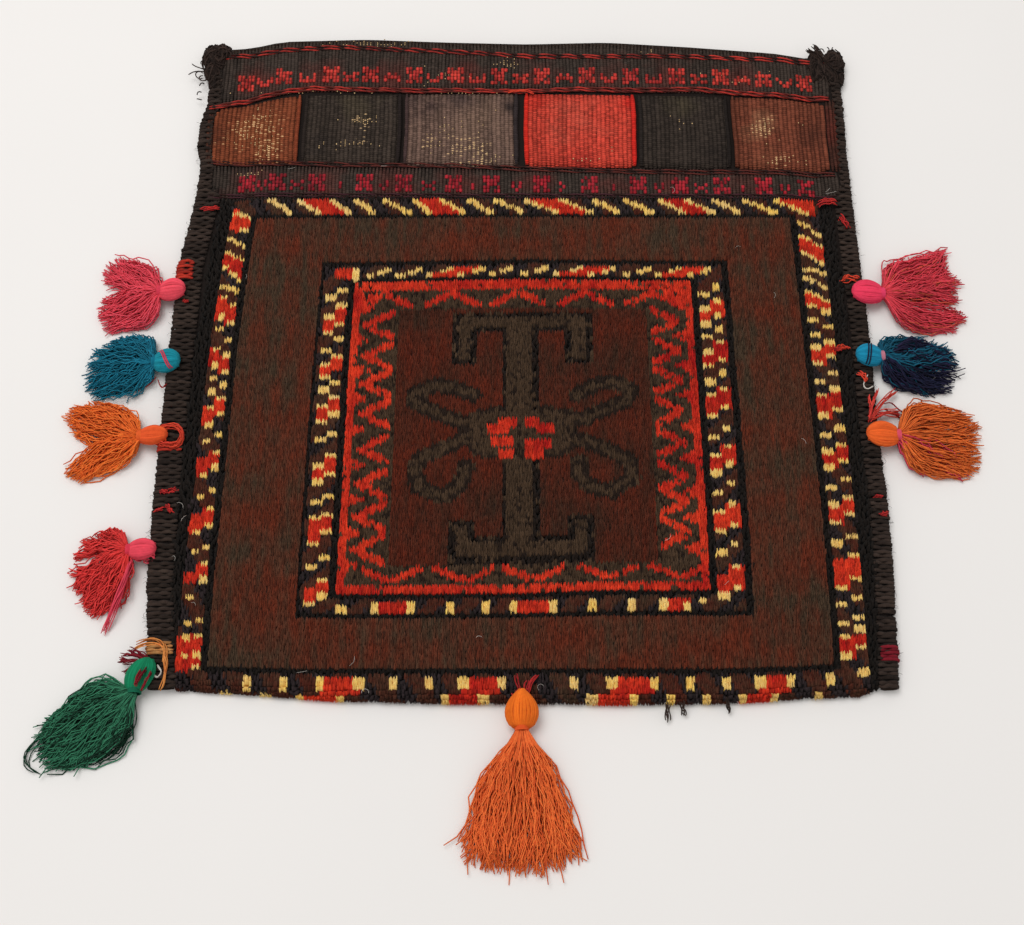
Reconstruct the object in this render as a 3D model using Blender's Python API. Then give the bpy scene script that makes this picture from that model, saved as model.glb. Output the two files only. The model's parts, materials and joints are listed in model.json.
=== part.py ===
"""Hand-knotted bag: one pouch of a woven saddle bag, lying flat, with nine yarn tassels.

Metres, +X to the right, +Y towards the mouth, +Z up, origin at the middle of the bag's underside.
One woven strip is folded at its lower end: plain back, fold, knotted pile face, flat-woven band.
Goat-hair bindings hold its two layers together at the sides. Each tassel hangs by an eye on a tie
of sewing thread, and swings up about that tie.
"""
import math

import bmesh
import bpy
from mathutils import Matrix, Vector

MM = 0.001

# Outline of the woven strip, without the bindings
CLOTH_HALF_WIDTH = 276.0 * MM
MOUTH_Y = 293.0 * MM
FOLD_Y = -289.0 * MM
PILE_TOP_Y = 137.0 * MM

# Thickness of the layers
BACK_THICK = 2.2 * MM
FACE_THICK = 2.6 * MM
PILE_HIGH = 4.0 * MM
POCKET_GAP = 5.4 * MM
SEAM_GAP = 0.4 * MM
FOLD_GAP = 2.6 * MM
FOLD_ROUND = 8.0 * MM
POCKET_SLOPE = 45.0 * MM
FOLD_SLOPE = 60.0 * MM
MOUTH_STEP_BACK = 2.0 * MM

# Bindings of the side edges
CLEAR = 0.3 * MM
BINDING_SIDE = 4.2 * MM
BINDING_PLATE = 2.0 * MM
LEFT_BINDING_WIDE = 22.5 * MM
RIGHT_BINDING_WIDE = 17.0 * MM
BINDING_ABOVE_FOLD = 13.0 * MM
STITCH_PITCH = 22.0 * MM
STITCH_DEEP = 0.5 * MM

# Frames of the pile face: name, its width at the left, right, top and bottom in millimetres, level, wool
PATTERN_DROP = 0.9 * MM
STEP_RUN = 0.6 * MM
PILE_FRAMES = (
    ("guard", (10.0, 11.0, 3.5, 1.5), -1.0, "black_wool"),
    ("outer_border", (18.5, 20.5, 12.0, 12.0), 0.0, "dark_red_wool"),
    ("outer_line", (5.0, 5.0, 5.0, 5.0), -1.0, "black_wool"),
    ("main_border", (60.0, 57.0, 40.0, 37.0), 0.0, "brown_wool"),
    ("middle_line", (5.0, 5.0, 4.5, 4.5), -1.0, "black_wool"),
    ("inner_border", (19.5, 20.0, 10.5, 10.0), 0.0, "dark_red_wool"),
    ("inner_line", (5.0, 5.5, 5.0, 4.5), -1.0, "black_wool"),
    ("red_line", (7.0, 7.0, 9.0, 9.0), 0.0, "red_wool"),
    ("chevron_ground", (26.0, 26.0, 12.0, 11.0), -0.6, "grey_wool"),
)

# Rows of the flat-woven band: name, low and high edge above the pile, relief in millimetres, wool
BAND_ROWS = (
    ("purple_cord", 1.6, 2.4, 0.8, "purple_wool"),
    ("lower_stars", 8.5, 20.5, 0.4, "crimson_wool"),
    ("thin_cord", 25.0, 26.0, 0.8, "dark_red_wool"),
    ("upper_cord", 107.0, 109.0, 0.9, "red_wool"),
    ("upper_stars", 117.0, 131.0, 0.4, "red_wool"),
    ("mouth_cord", 142.5, 144.5, 0.9, "red_wool"),
    ("hem", 148.0, 154.0, 0.5, "band_wool"),
)
SLIT_X = (-187.5 * MM, -101.5 * MM, 0.0 * MM, 98.0 * MM, 178.5 * MM)
SLIT_LOW = 31.0 * MM
SLIT_HIGH = 101.0 * MM
SLIT_WIDE = 1.4 * MM
LIP_WIDE = 5.0 * MM
LIP_HIGH = 0.7 * MM

# How far each edge wanders from straight: (place along the edge, offset) in millimetres
LEFT_WANDER = ((-280, -8), (-240, 1), (-120, 3.5), (0, 3), (60, 3), (100, -1), (130, -6), (165, -8),
               (200, -2), (235, -9), (262, -3), (290, -7))
RIGHT_WANDER = ((-275, -6), (-230, -3), (-150, 1), (-100, -2), (0, 0), (100, -2), (160, -3),
                (235, -2), (262, 0), (280, -3))
MOUTH_WANDER = ((-276, -6), (-230, -1), (-195, 4), (-165, 6), (-100, 4), (-50, 1.5), (0, 0), (80, 2),
                (150, -3), (200, -8), (240, -12), (276, -12))
FOLD_WANDER = ((-276, 10), (-230, 9), (-170, 4), (-100, 0), (0, 0), (100, -1), (150, 0), (200, 4),
               (240, 5), (276, 12))

# Ties, eyes, necks and skirts of the tassels
TIE_ABOVE = 3.4 * MM
TIE_THICK = 0.8 * MM
TIE_HALF_SPAN = 4.4 * MM
EYE_RADIUS = 1.2 * MM
EYE_LUG_RADIUS = 2.8 * MM
NECK_RADIUS = 4.3 * MM
NECK_THREAD_THICK = 1.4 * MM
NECK_THREAD_LONG = 4.0 * MM
NECK_RISE = 0.45
SKIRT_THICK = 11.0 * MM
TIP_THICK = 6.0 * MM
FLUTE = 0.9 * MM
SKIRT_STEPS = (0.16, 0.42, 0.74, 1.0)
FAN_POINTS = 8
HEAD_STEPS = 4

# Knots of goat hair round the corners of the mouth, in millimetres: name, side, rise above the mouth,
# length, half width, half thickness, and the tips of frayed ends as (outwards, up, forwards)
KNOTS = (
    ("knot_top_left", "left", 2.7, 33.7, 11.0, 8.5, ((9.0, -6.0, 3.0), (-4.0, 21.0, 2.0))),
    ("knot_top_right", "right", 5.0, 34.7, 8.3, 8.0, ((-7.0, 25.0, 2.0), (10.0, -14.0, 1.0))),
)

# Coloured wool sewn over the bindings: name, wool, side, low and high edge in millimetres, how much of
# the binding's width it covers, how far round the edge it goes as a share of half a turn, and its turns
PATCHES = (
    ("red_wrap_left", "red_wool", "left", 59.0, 77.0, 0.70, 0.30, 5),
    ("orange_loop_left", "red_wool", "left", -91.0, -86.5, 0.92, 0.30, 2),
    ("corner_wrap_left", "cream", "left", -252.0, -244.0, 0.92, 0.30, 3),
    ("red_wrap_right", "crimson_wool", "right", -257.0, -245.0, 0.86, 0.30, 3),
)
PATCH_THICK = 1.2 * MM
PATCH_RIDGE = 0.6 * MM
PATCH_STEPS = 4

# Cut tufts beside the bindings, in millimetres: name, wool, side, place, half sizes, lobes
TUFTS = (
    ("maroon_tuft_left", "crimson_wool", "left", -250.0, (6.5, 5.0, 4.0), 5),
    ("red_tuft_right", "crimson", "right", -45.0, (5.5, 8.0, 4.0), 3),
)
LOBE_DEEP = 0.18

# How finely the cloth and the bindings are divided
COLUMNS_ACROSS = 7
ROWS_UP_PILE = 7
FOLD_STEPS = 6
BULGE_STEPS = 3
FLAT_ANGLE = math.radians(0.2)
PLAIN_SHARES = (0.0, 0.33, 0.67, 1.0)
SETTLE_ROUNDS = 4

PALETTE = {
    "black_wool": (0.010, 0.009, 0.008),
    "brown_wool": (0.075, 0.022, 0.012),
    "grey_wool": (0.060, 0.042, 0.028),
    "dark_red_wool": (0.110, 0.022, 0.014),
    "red_wool": (0.560, 0.040, 0.022),
    "crimson_wool": (0.300, 0.016, 0.028),
    "purple_wool": (0.050, 0.015, 0.024),
    "band_wool": (0.030, 0.022, 0.019),
    "goat_hair": (0.030, 0.018, 0.013),
    "pink": (0.850, 0.080, 0.130),
    "teal": (0.010, 0.200, 0.300),
    "orange": (0.820, 0.150, 0.030),
    "rose": (0.580, 0.045, 0.070),
    "green": (0.010, 0.090, 0.060),
    "crimson": (0.470, 0.035, 0.080),
    "navy": (0.015, 0.100, 0.170),
    "rust": (0.600, 0.160, 0.050),
    "cream": (0.560, 0.400, 0.220),
}


class Tassel:
    """One tassel: the edge it is sewn to, its place along it and inset from it, and its skirt's fan.

    Lengths are in millimetres and turns in degrees. The head is (middle, half width, half thickness),
    and the fan is (turn, reach) round its edge. The lift raises the head, and the shift moves the neck.
    """

    def __init__(self, name, colour, edge, place, inset, heading, head, neck, fan, lift=1.6, shift=0.0):
        self.name = name
        self.colour = colour
        self.edge = edge
        self.place = place * MM
        self.inset = inset * MM
        self.heading = math.radians(heading)
        self.head_middle, self.head_half_wide, self.head_half_thick = (v * MM for v in head)
        self.neck = neck * MM
        self.fan = [(math.radians(turn), reach * MM) for turn, reach in fan]
        self.lift = lift * MM
        self.shift = shift * MM


TASSELS = (
    Tassel("pink_left", "pink", "left", 48, 9.6, 180, (11, 9.5, 5.5), 20,
           ((-62, 36), (-42, 55), (-26, 56), (-10, 50), (0, 43), (15, 52), (28, 57), (38, 55), (58, 39))),
    Tassel("teal_left", "teal", "left", -16, 11.6, 180, (11, 9.5, 5.5), 20,
           ((-72, 28), (-43, 38), (-12, 57), (7, 53), (23, 62), (33, 55), (58, 24))),
    Tassel("orange_left", "orange", "left", -80, 7.8, 180, (11, 9.0, 5.5), 21,
           ((-52, 40), (-33, 59), (-18, 69), (-7, 59), (8, 40), (20, 54), (30, 73), (38, 60), (58, 30))),
    Tassel("rose_left", "rose", "left", -173, 6.9, 180, (11, 9.5, 5.5), 20,
           ((-67, 20), (-22, 35), (11, 46), (36, 50), (58, 58), (76, 58), (88, 44))),
    Tassel("green_corner", "green", "left", -258, 2.3, -90, (12, 10.0, 5.5), 22,
           ((-84, 49), (-74, 69), (-58, 85), (-45, 81), (-34, 67), (-20, 40)), shift=-8.0),
    Tassel("orange_bottom", "orange", "bottom", -1, 8.0, -90, (13, 11.5, 6.0), 26,
           ((-27, 100), (-20, 101), (-8, 100), (2, 103), (12, 104), (20, 100), (29, 86)), lift=0.4),
    Tassel("crimson_right", "crimson", "right", 46, 11.5, 0, (11.5, 11.0, 5.5), 24,
           ((-46, 44), (-28, 71), (-14, 71), (0, 63), (12, 68), (22, 64), (36, 76), (45, 74), (54, 32)),
           lift=2.2),
    Tassel("navy_right", "navy", "right", -11, 14.2, 0, (10.5, 9.0, 5.5), 20,
           ((-64, 24), (-50, 42), (-39, 60), (-24, 62), (-10, 64), (6, 60), (17, 58), (38, 31),
            (66, 21)),
           lift=2.2),
    Tassel("rust_right", "rust", "right", -79, 11.4, 0, (11.5, 11.0, 5.5), 24,
           ((-54, 30), (-36, 65), (-26, 67), (-12, 70), (0, 68), (12, 67), (24, 63), (38, 41), (56, 26)),
           lift=2.2),
)


def clear_scene():
    for old in list(bpy.data.objects):
        bpy.data.objects.remove(old, do_unlink=True)


def smooth(t):
    """Ease from 0 to 1, level at both ends."""
    t = min(1.0, max(0.0, t))
    return t * t * (3.0 - 2.0 * t)


def wander(points, place):
    """Eased offset at a place along an edge, both in metres, from points in millimetres."""
    at = place / MM
    if at <= points[0][0]:
        return points[0][1] * MM
    for (a, low), (b, high) in zip(points, points[1:]):
        if at <= b:
            return (low + (high - low) * smooth((at - a) / (b - a))) * MM
    return points[-1][1] * MM


def mouth_y(x):
    return MOUTH_Y + wander(MOUTH_WANDER, x)


def fold_y(x):
    return FOLD_Y + wander(FOLD_WANDER, x)


def straight(low, high, count):
    """Evenly spaced values from low to high."""
    return [low + (high - low) * i / (count - 1) for i in range(count)]


def make_material(name):
    material = bpy.data.materials.get(name)
    if material is None:
        material = bpy.data.materials.new(name)
        material.use_nodes = True
        shader = material.node_tree.nodes["Principled BSDF"]
        shader.inputs["Base Color"].default_value = (*PALETTE[name], 1.0)
        shader.inputs["Roughness"].default_value = 0.95
        shader.inputs["Metallic"].default_value = 0.0
        material.diffuse_color = (*PALETTE[name], 1.0)
    return material


def finish_object(name, bm, materials, place=(0.0, 0.0, 0.0), turn=0.0, merge=True):
    """Close off a bmesh as a named object with its faces pointing out."""
    if merge:
        bmesh.ops.remove_doubles(bm, verts=bm.verts, dist=1e-6)
    bmesh.ops.recalc_face_normals(bm, faces=bm.faces)
    mesh = bpy.data.meshes.new(name)
    bm.to_mesh(mesh)
    bm.free()
    for material in materials:
        mesh.materials.append(make_material(material))
    body = bpy.data.objects.new(name, mesh)
    body.location = place
    body.rotation_euler = (0.0, 0.0, turn)
    bpy.context.scene.collection.objects.link(body)
    return body


def loft(bm, rings, close_ends=True):
    """Skin a list of equal closed rings of points, and cap both ends."""
    loops = [[bm.verts.new(point) for point in ring] for ring in rings]
    for low, high in zip(loops, loops[1:]):
        for i in range(len(low)):
            j = (i + 1) % len(low)
            bm.faces.new((low[i], low[j], high[j], high[i]))
    if close_ends:
        bm.faces.new(loops[0])
        bm.faces.new(loops[-1])
    return loops


def cut(body, cutter, operation="DIFFERENCE"):
    """Cut one object with another, or join them, and keep the other out of the model."""
    cutter.hide_render = True
    cutter.display_type = "WIRE"
    step = body.modifiers.new(operation.title(), "BOOLEAN")
    step.operation = operation
    step.solver = "EXACT"
    step.object = cutter


def fold_start_y(x):
    return fold_y(x) + FOLD_ROUND


def band_y(x, height):
    """A row of the band, which follows the mouth more the nearer it is."""
    share = height / (MOUTH_Y - PILE_TOP_Y)
    return PILE_TOP_Y + share * (mouth_y(x) - PILE_TOP_Y)


def row_lines():
    """Crosswise mesh lines (y(x), relief, wool) from fold to mouth, and those that all sheets have."""
    rows = [
        (lambda x, share=share: fold_start_y(x) + (PILE_TOP_Y - fold_start_y(x)) * share, 0.0, "black_wool")
        for share in straight(0.0, 1.0, ROWS_UP_PILE)
    ]
    band = [(STEP_RUN, 0.0, "band_wool"), (MOUTH_Y - PILE_TOP_Y, 0.0, "band_wool")]
    plain_heights = [SLIT_LOW + (SLIT_HIGH - SLIT_LOW) * share for share in PLAIN_SHARES]
    band += [(height, 0.0, "band_wool") for height in plain_heights]
    for _, low, high, relief, wool in BAND_ROWS:
        band += [(low * MM - STEP_RUN, 0.0, "band_wool"), (low * MM, relief * MM, wool)]
        band += [(high * MM, relief * MM, wool), (high * MM + STEP_RUN, 0.0, "band_wool")]
    for height, relief, wool in sorted(band):
        rows.append((lambda x, height=height: band_y(x, height), relief, wool))
    plain = list(range(ROWS_UP_PILE))
    plain += [ROWS_UP_PILE + i for i, row in enumerate(sorted(band)) if row[0] in plain_heights]
    return rows, plain + [len(rows) - 1]


class Side:
    """One side edge of the cloth, straight between the crosswise lines, and the binding that wraps it."""

    def __init__(self, sign, points, bound):
        self.sign = sign
        self.bound = bound
        self.line = []
        for row, _, _ in (ROWS[r] for r in PLAIN_ROWS):
            x = sign * CLOTH_HALF_WIDTH
            for _ in range(SETTLE_ROUNDS):
                y = row(x)
                x = sign * (CLOTH_HALF_WIDTH + wander(points, y))
            self.line.append((y, x))

    def cloth_x(self, y):
        """Edge of the cloth inside its binding."""
        if y <= self.line[0][0]:
            return self.line[0][1]
        for (a, low), (b, high) in zip(self.line, self.line[1:]):
            if y <= b:
                return low + (high - low) * (y - a) / (b - a)
        return self.line[-1][1]

    def outer_x(self, y):
        """Outer edge of the binding."""
        return self.cloth_x(y) + self.sign * (CLEAR + BINDING_SIDE)

    def inner_x(self, y):
        """Inner edge of the binding, where the pile starts."""
        return self.outer_x(y) - self.sign * self.bound

    def wall_x(self, y):
        """Outermost face of the binding, a chord of its round edge."""
        return self.outer_x(y) - self.sign * 0.5 * BINDING_TOP * (1.0 - math.sin(math.pi / BULGE_STEPS))

    def mouth_y(self):
        """Where the mouth's edge meets this side."""
        return mouth_y(self.line[-1][1])


ROWS, PLAIN_ROWS = row_lines()
LEFT = Side(-1, LEFT_WANDER, LEFT_BINDING_WIDE)
RIGHT = Side(1, RIGHT_WANDER, RIGHT_BINDING_WIDE)
SIDES = {"left": LEFT, "right": RIGHT}

# Levels where the two layers meet inside a binding
SEAM_UNDER = BINDING_PLATE + CLEAR
SEAM_TOP = SEAM_UNDER + BACK_THICK + SEAM_GAP + FACE_THICK
BINDING_TOP = SEAM_TOP + CLEAR + BINDING_PLATE


def open_share(x, y):
    """How far the pouch is open at a place: 0 at the seams, 1 in the middle."""
    left = (x - LEFT.inner_x(y)) / POCKET_SLOPE
    right = (RIGHT.inner_x(y) - x) / POCKET_SLOPE
    return smooth(min(left, right))


def under_z(x, y):
    """Underside of the back: flat on the ground, and lifted onto the bindings at the sides."""
    return SEAM_UNDER * (1.0 - smooth(3.0 * min(x - LEFT.inner_x(y), RIGHT.inner_x(y) - x) / POCKET_SLOPE))


def gap_height(x, y):
    """Clear height inside the pouch."""
    by_fold = FOLD_GAP + (POCKET_GAP - FOLD_GAP) * smooth((y - fold_y(x)) / FOLD_SLOPE)
    return SEAM_GAP + (by_fold - SEAM_GAP) * open_share(x, y)


def layers(x, y):
    """The four heights of the cloth without pile: under, back's inside, face's inside, face's top."""
    under = under_z(x, y)
    inside_low = under + BACK_THICK
    inside_high = inside_low + gap_height(x, y)
    return under, inside_low, inside_high, inside_high + FACE_THICK


def column_lines():
    """Functions x(y) of the lengthwise mesh lines, from the left cloth edge to the right one."""
    def foot(side):
        return lambda y: side.inner_x(y) - side.sign * 1.5 * CLEAR

    def inboard(side, distance):
        return lambda y: foot(side)(y) - side.sign * distance

    near = (STEP_RUN, 0.33 * POCKET_SLOPE, POCKET_SLOPE)
    left = [LEFT.cloth_x, foot(LEFT)] + [inboard(LEFT, d) for d in near]
    right = [RIGHT.cloth_x, foot(RIGHT)] + [inboard(RIGHT, d) for d in near]
    inner_left, inner_right = left[-1], right[-1]
    middle = [
        lambda y, share=share: inner_left(y) + (inner_right(y) - inner_left(y)) * share
        for share in straight(0.0, 1.0, COLUMNS_ACROSS)[1:-1]
    ]
    return left + middle + right[::-1]


def pattern_loops():
    """Nested lines of the pile's frames: (margins, level), each margin counted from the pile's edge."""
    margins = [0.0, 0.0, 0.0, 0.0]
    level = 0.0
    loops = []
    for _, widths, drop, wool in PILE_FRAMES:
        loops.append((list(margins), level, wool))
        level = drop * PATTERN_DROP
        stepped = [margin + STEP_RUN for margin in margins]
        loops.append((stepped, level, wool))
        margins = [margin + width * MM for margin, width in zip(margins, widths)]
    loops.append((list(margins), level, "brown_wool"))
    loops.append(([margin + STEP_RUN for margin in margins], 0.0, "brown_wool"))
    return loops[1:]


def build_cloth():
    """The folded strip: outer face and inner face on one grid, joined at the sides and the mouth."""
    bm = bmesh.new()
    columns = column_lines()
    rows = ROWS
    last_column = len(columns) - 1
    last_row = len(rows) - 1
    pile_row = ROWS_UP_PILE - 1
    wools = sorted({row[2] for row in rows} | {frame[3] for frame in PILE_FRAMES} | {"brown_wool"})

    def plan(k, r):
        y = rows[r][0](0.0)
        for _ in range(SETTLE_ROUNDS):
            x = columns[k](y)
            y = rows[r][0](x)
        return x, y

    def face_z(k, r, x, y):
        top = layers(x, y)[3]
        on_pile = r <= pile_row and 2 <= k <= last_column - 2
        return top + (PILE_HIGH if on_pile else rows[r][1] if 2 <= k <= last_column - 2 else 0.0)

    outer_top, inner_top, inner_low, outer_low = ([], [], [], [])
    for k in range(last_column + 1):
        grids = ([], [], [], [])
        for r in range(last_row + 1):
            x, y = plan(k, r)
            under, low, high, _ = layers(x, y)
            back_y = y - (MOUTH_STEP_BACK if r == last_row else 0.0)
            heights = ((y, face_z(k, r, x, y)), (y, high), (back_y, low), (back_y, under))
            for grid, (at_y, z) in zip(grids, heights):
                in_sheet = grid is grids[0] or r in PLAIN_ROWS
                grid.append(bm.verts.new((x, at_y, z)) if in_sheet else None)
        for whole, grid in zip((outer_top, inner_top, inner_low, outer_low), grids):
            whole.append(grid)

    def quad(a, b, c, d, wool="band_wool"):
        face = bm.faces.new((a, b, c, d))
        face.material_index = wools.index(wool)

    # The four sheets of the two layers
    for k in range(last_column):
        for r in range(last_row):
            in_panel = r < pile_row and 2 <= k < last_column - 2
            wool = rows[r][2] if rows[r][2] == rows[r + 1][2] or r <= pile_row else "band_wool"
            if not in_panel:
                quad(outer_top[k][r], outer_top[k + 1][r], outer_top[k + 1][r + 1], outer_top[k][r + 1], wool)
        for r, up in zip(PLAIN_ROWS, PLAIN_ROWS[1:]):
            for grid in (inner_top, inner_low, outer_low):
                quad(grid[k][r], grid[k + 1][r], grid[k + 1][up], grid[k][up])

    # Sides of each layer, and the two lips of the mouth
    for k in (0, last_column):
        for r, up in zip(PLAIN_ROWS, PLAIN_ROWS[1:]):
            bm.faces.new(outer_top[k][r:up + 1] + [inner_top[k][up], inner_top[k][r]])
            quad(inner_low[k][r], inner_low[k][up], outer_low[k][up], outer_low[k][r])
    for high, low in ((outer_top, inner_top), (inner_low, outer_low)):
        for k in range(last_column):
            quad(high[k][last_row], high[k + 1][last_row], low[k + 1][last_row], low[k][last_row])

    # The fold: half ellipses round the outside and the inside of each column
    outer_bend, inner_bend = [], []
    for k in range(last_column + 1):
        for top, low, bend, reach in (
            (outer_top[k][0], outer_low[k][0], outer_bend, FOLD_ROUND),
            (inner_top[k][0], inner_low[k][0], inner_bend, FOLD_ROUND - FACE_THICK - SEAM_GAP),
        ):
            middle = 0.5 * (top.co.z + low.co.z)
            half = 0.5 * (top.co.z - low.co.z)
            line = [top]
            for step in range(1, FOLD_STEPS):
                turn = math.pi * step / FOLD_STEPS
                y = top.co.y - reach * math.sin(turn)
                line.append(bm.verts.new((top.co.x, y, middle + half * math.cos(turn))))
            line.append(low)
            bend.append(line)
    for k in range(last_column):
        for step in range(FOLD_STEPS):
            wool = "dark_red_wool" if 1 < k < last_column - 2 and step < FOLD_STEPS // 2 else "band_wool"
            for bend in (outer_bend, inner_bend):
                quad(bend[k][step], bend[k + 1][step], bend[k + 1][step + 1], bend[k][step + 1], wool)
    for k in (0, last_column):
        for step in range(FOLD_STEPS):
            quad(outer_bend[k][step], outer_bend[k][step + 1], inner_bend[k][step + 1], inner_bend[k][step])

    # The pile face: nested frames inside the panel's edge, each stepping up or down
    panel = range(2, last_column - 1)
    left, right = columns[2], columns[last_column - 2]
    spans = [(columns[k](0.0) - left(0.0)) / (right(0.0) - left(0.0)) for k in panel]
    ups = straight(0.0, 1.0, ROWS_UP_PILE)
    edge = [outer_top[k][0] for k in panel]
    edge += [outer_top[last_column - 2][r] for r in range(1, pile_row + 1)]
    edge += [outer_top[k][pile_row] for k in reversed(panel[:-1])]
    edge += [outer_top[2][r] for r in range(pile_row - 1, 0, -1)]
    around = [(s, 0.0) for s in spans] + [(1.0, u) for u in ups[1:]]
    around += [(s, 1.0) for s in reversed(spans[:-1])] + [(0.0, u) for u in reversed(ups[1:-1])]
    for margins, level, wool in pattern_loops():
        loop = []
        for s, u in around:
            y = FOLD_Y + (PILE_TOP_Y - FOLD_Y) * u
            for _ in range(SETTLE_ROUNDS):
                low_x, high_x = left(y) + margins[0], right(y) - margins[1]
                x = low_x + (high_x - low_x) * s
                low_y, high_y = fold_start_y(x) + margins[3], PILE_TOP_Y - margins[2]
                y = low_y + (high_y - low_y) * u
            loop.append(bm.verts.new((x, y, layers(x, y)[3] + PILE_HIGH + level)))
        for i in range(len(loop)):
            j = (i + 1) % len(loop)
            quad(edge[i], edge[j], loop[j], loop[i], wool)
        edge = loop
    field = bm.faces.new(edge)
    field.material_index = wools.index("brown_wool")

    bmesh.ops.dissolve_limit(bm, angle_limit=FLAT_ANGLE, verts=bm.verts, edges=bm.edges, delimit={"MATERIAL"})
    cloth = finish_object("bag_cloth", bm, wools, merge=False)
    cut(cloth, slit_lips(), "UNION")
    cut(cloth, slit_cutters())
    return cloth


def bar(bm, x, half_wide, low_y, high_y, low_z, high_z):
    """A straight block with its upper long edges rounded off."""
    soft = min(0.4 * half_wide, 0.8 * LIP_HIGH)
    section = ((-half_wide, low_z), (half_wide, low_z), (half_wide, high_z - soft),
               (half_wide - soft, high_z), (-half_wide + soft, high_z), (-half_wide, high_z - soft))
    loft(bm, [[(x + u, y, z) for u, z in section] for y in (low_y, high_y)])


def slit_lips():
    """The thick woven edges on both sides of each slit, before it is cut."""
    bm = bmesh.new()
    for x in SLIT_X:
        low, high = band_y(x, SLIT_LOW), band_y(x, SLIT_HIGH)
        face = layers(x, 0.5 * (low + high))[3]
        bar(bm, x, 0.5 * SLIT_WIDE + LIP_WIDE, low, high, face - 0.5 * FACE_THICK, face + LIP_HIGH)
    return finish_object("slit_lips_guide", bm, ())


def slit_cutters():
    """The gaps between the six woven squares, through the face only."""
    bm = bmesh.new()
    for x in SLIT_X:
        low, high = band_y(x, SLIT_LOW) + LIP_WIDE, band_y(x, SLIT_HIGH) - LIP_WIDE
        _, inside_low, inside_high, face = layers(x, 0.5 * (low + high))
        bar(bm, x, 0.5 * SLIT_WIDE, low, high, 0.5 * (inside_low + inside_high), face + 4.0 * LIP_HIGH)
    return finish_object("slit_cutter_guide", bm, ())


def build_binding(name, side, top_y):
    """Overcast edge: a C-shaped wrap round both layers, with a shallow dip between stitch groups."""
    middle = 0.5 * BINDING_TOP
    low_y = FOLD_Y + BINDING_ABOVE_FOLD
    bends = [low_y] + [y for y, _ in side.line if low_y < y < top_y] + [top_y]
    stations = [low_y]
    for low, high in zip(bends, bends[1:]):
        groups = max(1, round((high - low) / STITCH_PITCH))
        stations += straight(low, high, 2 * groups + 1)[1:]
    rings = []
    for i, y in enumerate(stations):
        dip = STITCH_DEEP if i % 2 else 0.0
        inner = side.inner_x(y)
        slot = side.cloth_x(y) + side.sign * CLEAR
        bulge = side.outer_x(y) - side.sign * middle
        section = [(inner + side.sign * BINDING_PLATE, 0.0), (bulge, 0.0)]
        for step in range(1, BULGE_STEPS):
            turn = math.pi * step / BULGE_STEPS
            sink = dip if 2 * step > BULGE_STEPS else 0.0
            section.append((bulge + side.sign * (middle - sink) * math.sin(turn),
                            middle - (middle - sink) * math.cos(turn)))
        section += [(bulge, BINDING_TOP - dip), (inner + side.sign * BINDING_PLATE, BINDING_TOP - dip)]
        section += [(inner, BINDING_TOP - BINDING_PLATE + dip)]
        section += [(inner, SEAM_TOP + CLEAR), (slot, SEAM_TOP + CLEAR)]
        section += [(slot, BINDING_PLATE), (inner, BINDING_PLATE)]
        rings.append([(x, y, z) for x, z in section])
    bm = bmesh.new()
    loft(bm, rings)
    bmesh.ops.dissolve_limit(bm, angle_limit=FLAT_ANGLE, verts=bm.verts, edges=bm.edges)
    return finish_object(name, bm, ("goat_hair",))


def build_knot(name, side, low_y, high_y, half_wide, half_thick, spike):
    """Lump of goat hair round a corner of the mouth, with frayed ends standing out of it."""
    bm = bmesh.new()
    middle_y = 0.5 * (low_y + high_y)
    half_long = 0.5 * (high_y - low_y)
    centre = Vector((side.outer_x(middle_y) - side.sign * 0.86 * half_wide, middle_y, 0.5 * BINDING_TOP))
    bmesh.ops.create_icosphere(bm, subdivisions=2, radius=1.0)
    for vert in bm.verts:
        u, v, w = vert.co
        lump = 1.0 + 0.10 * math.sin(7.0 * u + 3.0 * v) * math.cos(6.0 * v - 4.0 * w)
        vert.co = centre + Vector((u * half_wide, v * half_long, w * half_thick)) * lump
        vert.co.z = max(0.0, vert.co.z)
    for tip in spike:
        tip_at = centre + Vector((side.sign * tip[0], tip[1], tip[2])) * MM
        nearest = max(bm.faces, key=lambda face: (face.calc_center_median() - centre).normalized().dot(
            (tip_at - centre).normalized()))
        point = bmesh.ops.poke(bm, faces=[nearest])["verts"][0]
        point.co = tip_at
    knot = finish_object(name, bm, ("goat_hair",))
    slot = bmesh.new()
    reach = 3.0 * CLOTH_HALF_WIDTH
    low_end, high_end = low_y - half_long, high_y + half_long
    rings = []
    for y in [low_end] + [y for y, _ in side.line if low_end < y < high_end] + [high_end]:
        edge = side.cloth_x(y) + side.sign * CLEAR
        inside = edge - side.sign * reach
        rings.append([(edge, y, SEAM_UNDER - CLEAR), (edge, y, SEAM_TOP + CLEAR),
                      (inside, y, SEAM_TOP + CLEAR), (inside, y, SEAM_UNDER - CLEAR)])
    loft(slot, rings)
    cut(knot, finish_object(name + "_slot_guide", slot, ()))
    return knot


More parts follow.
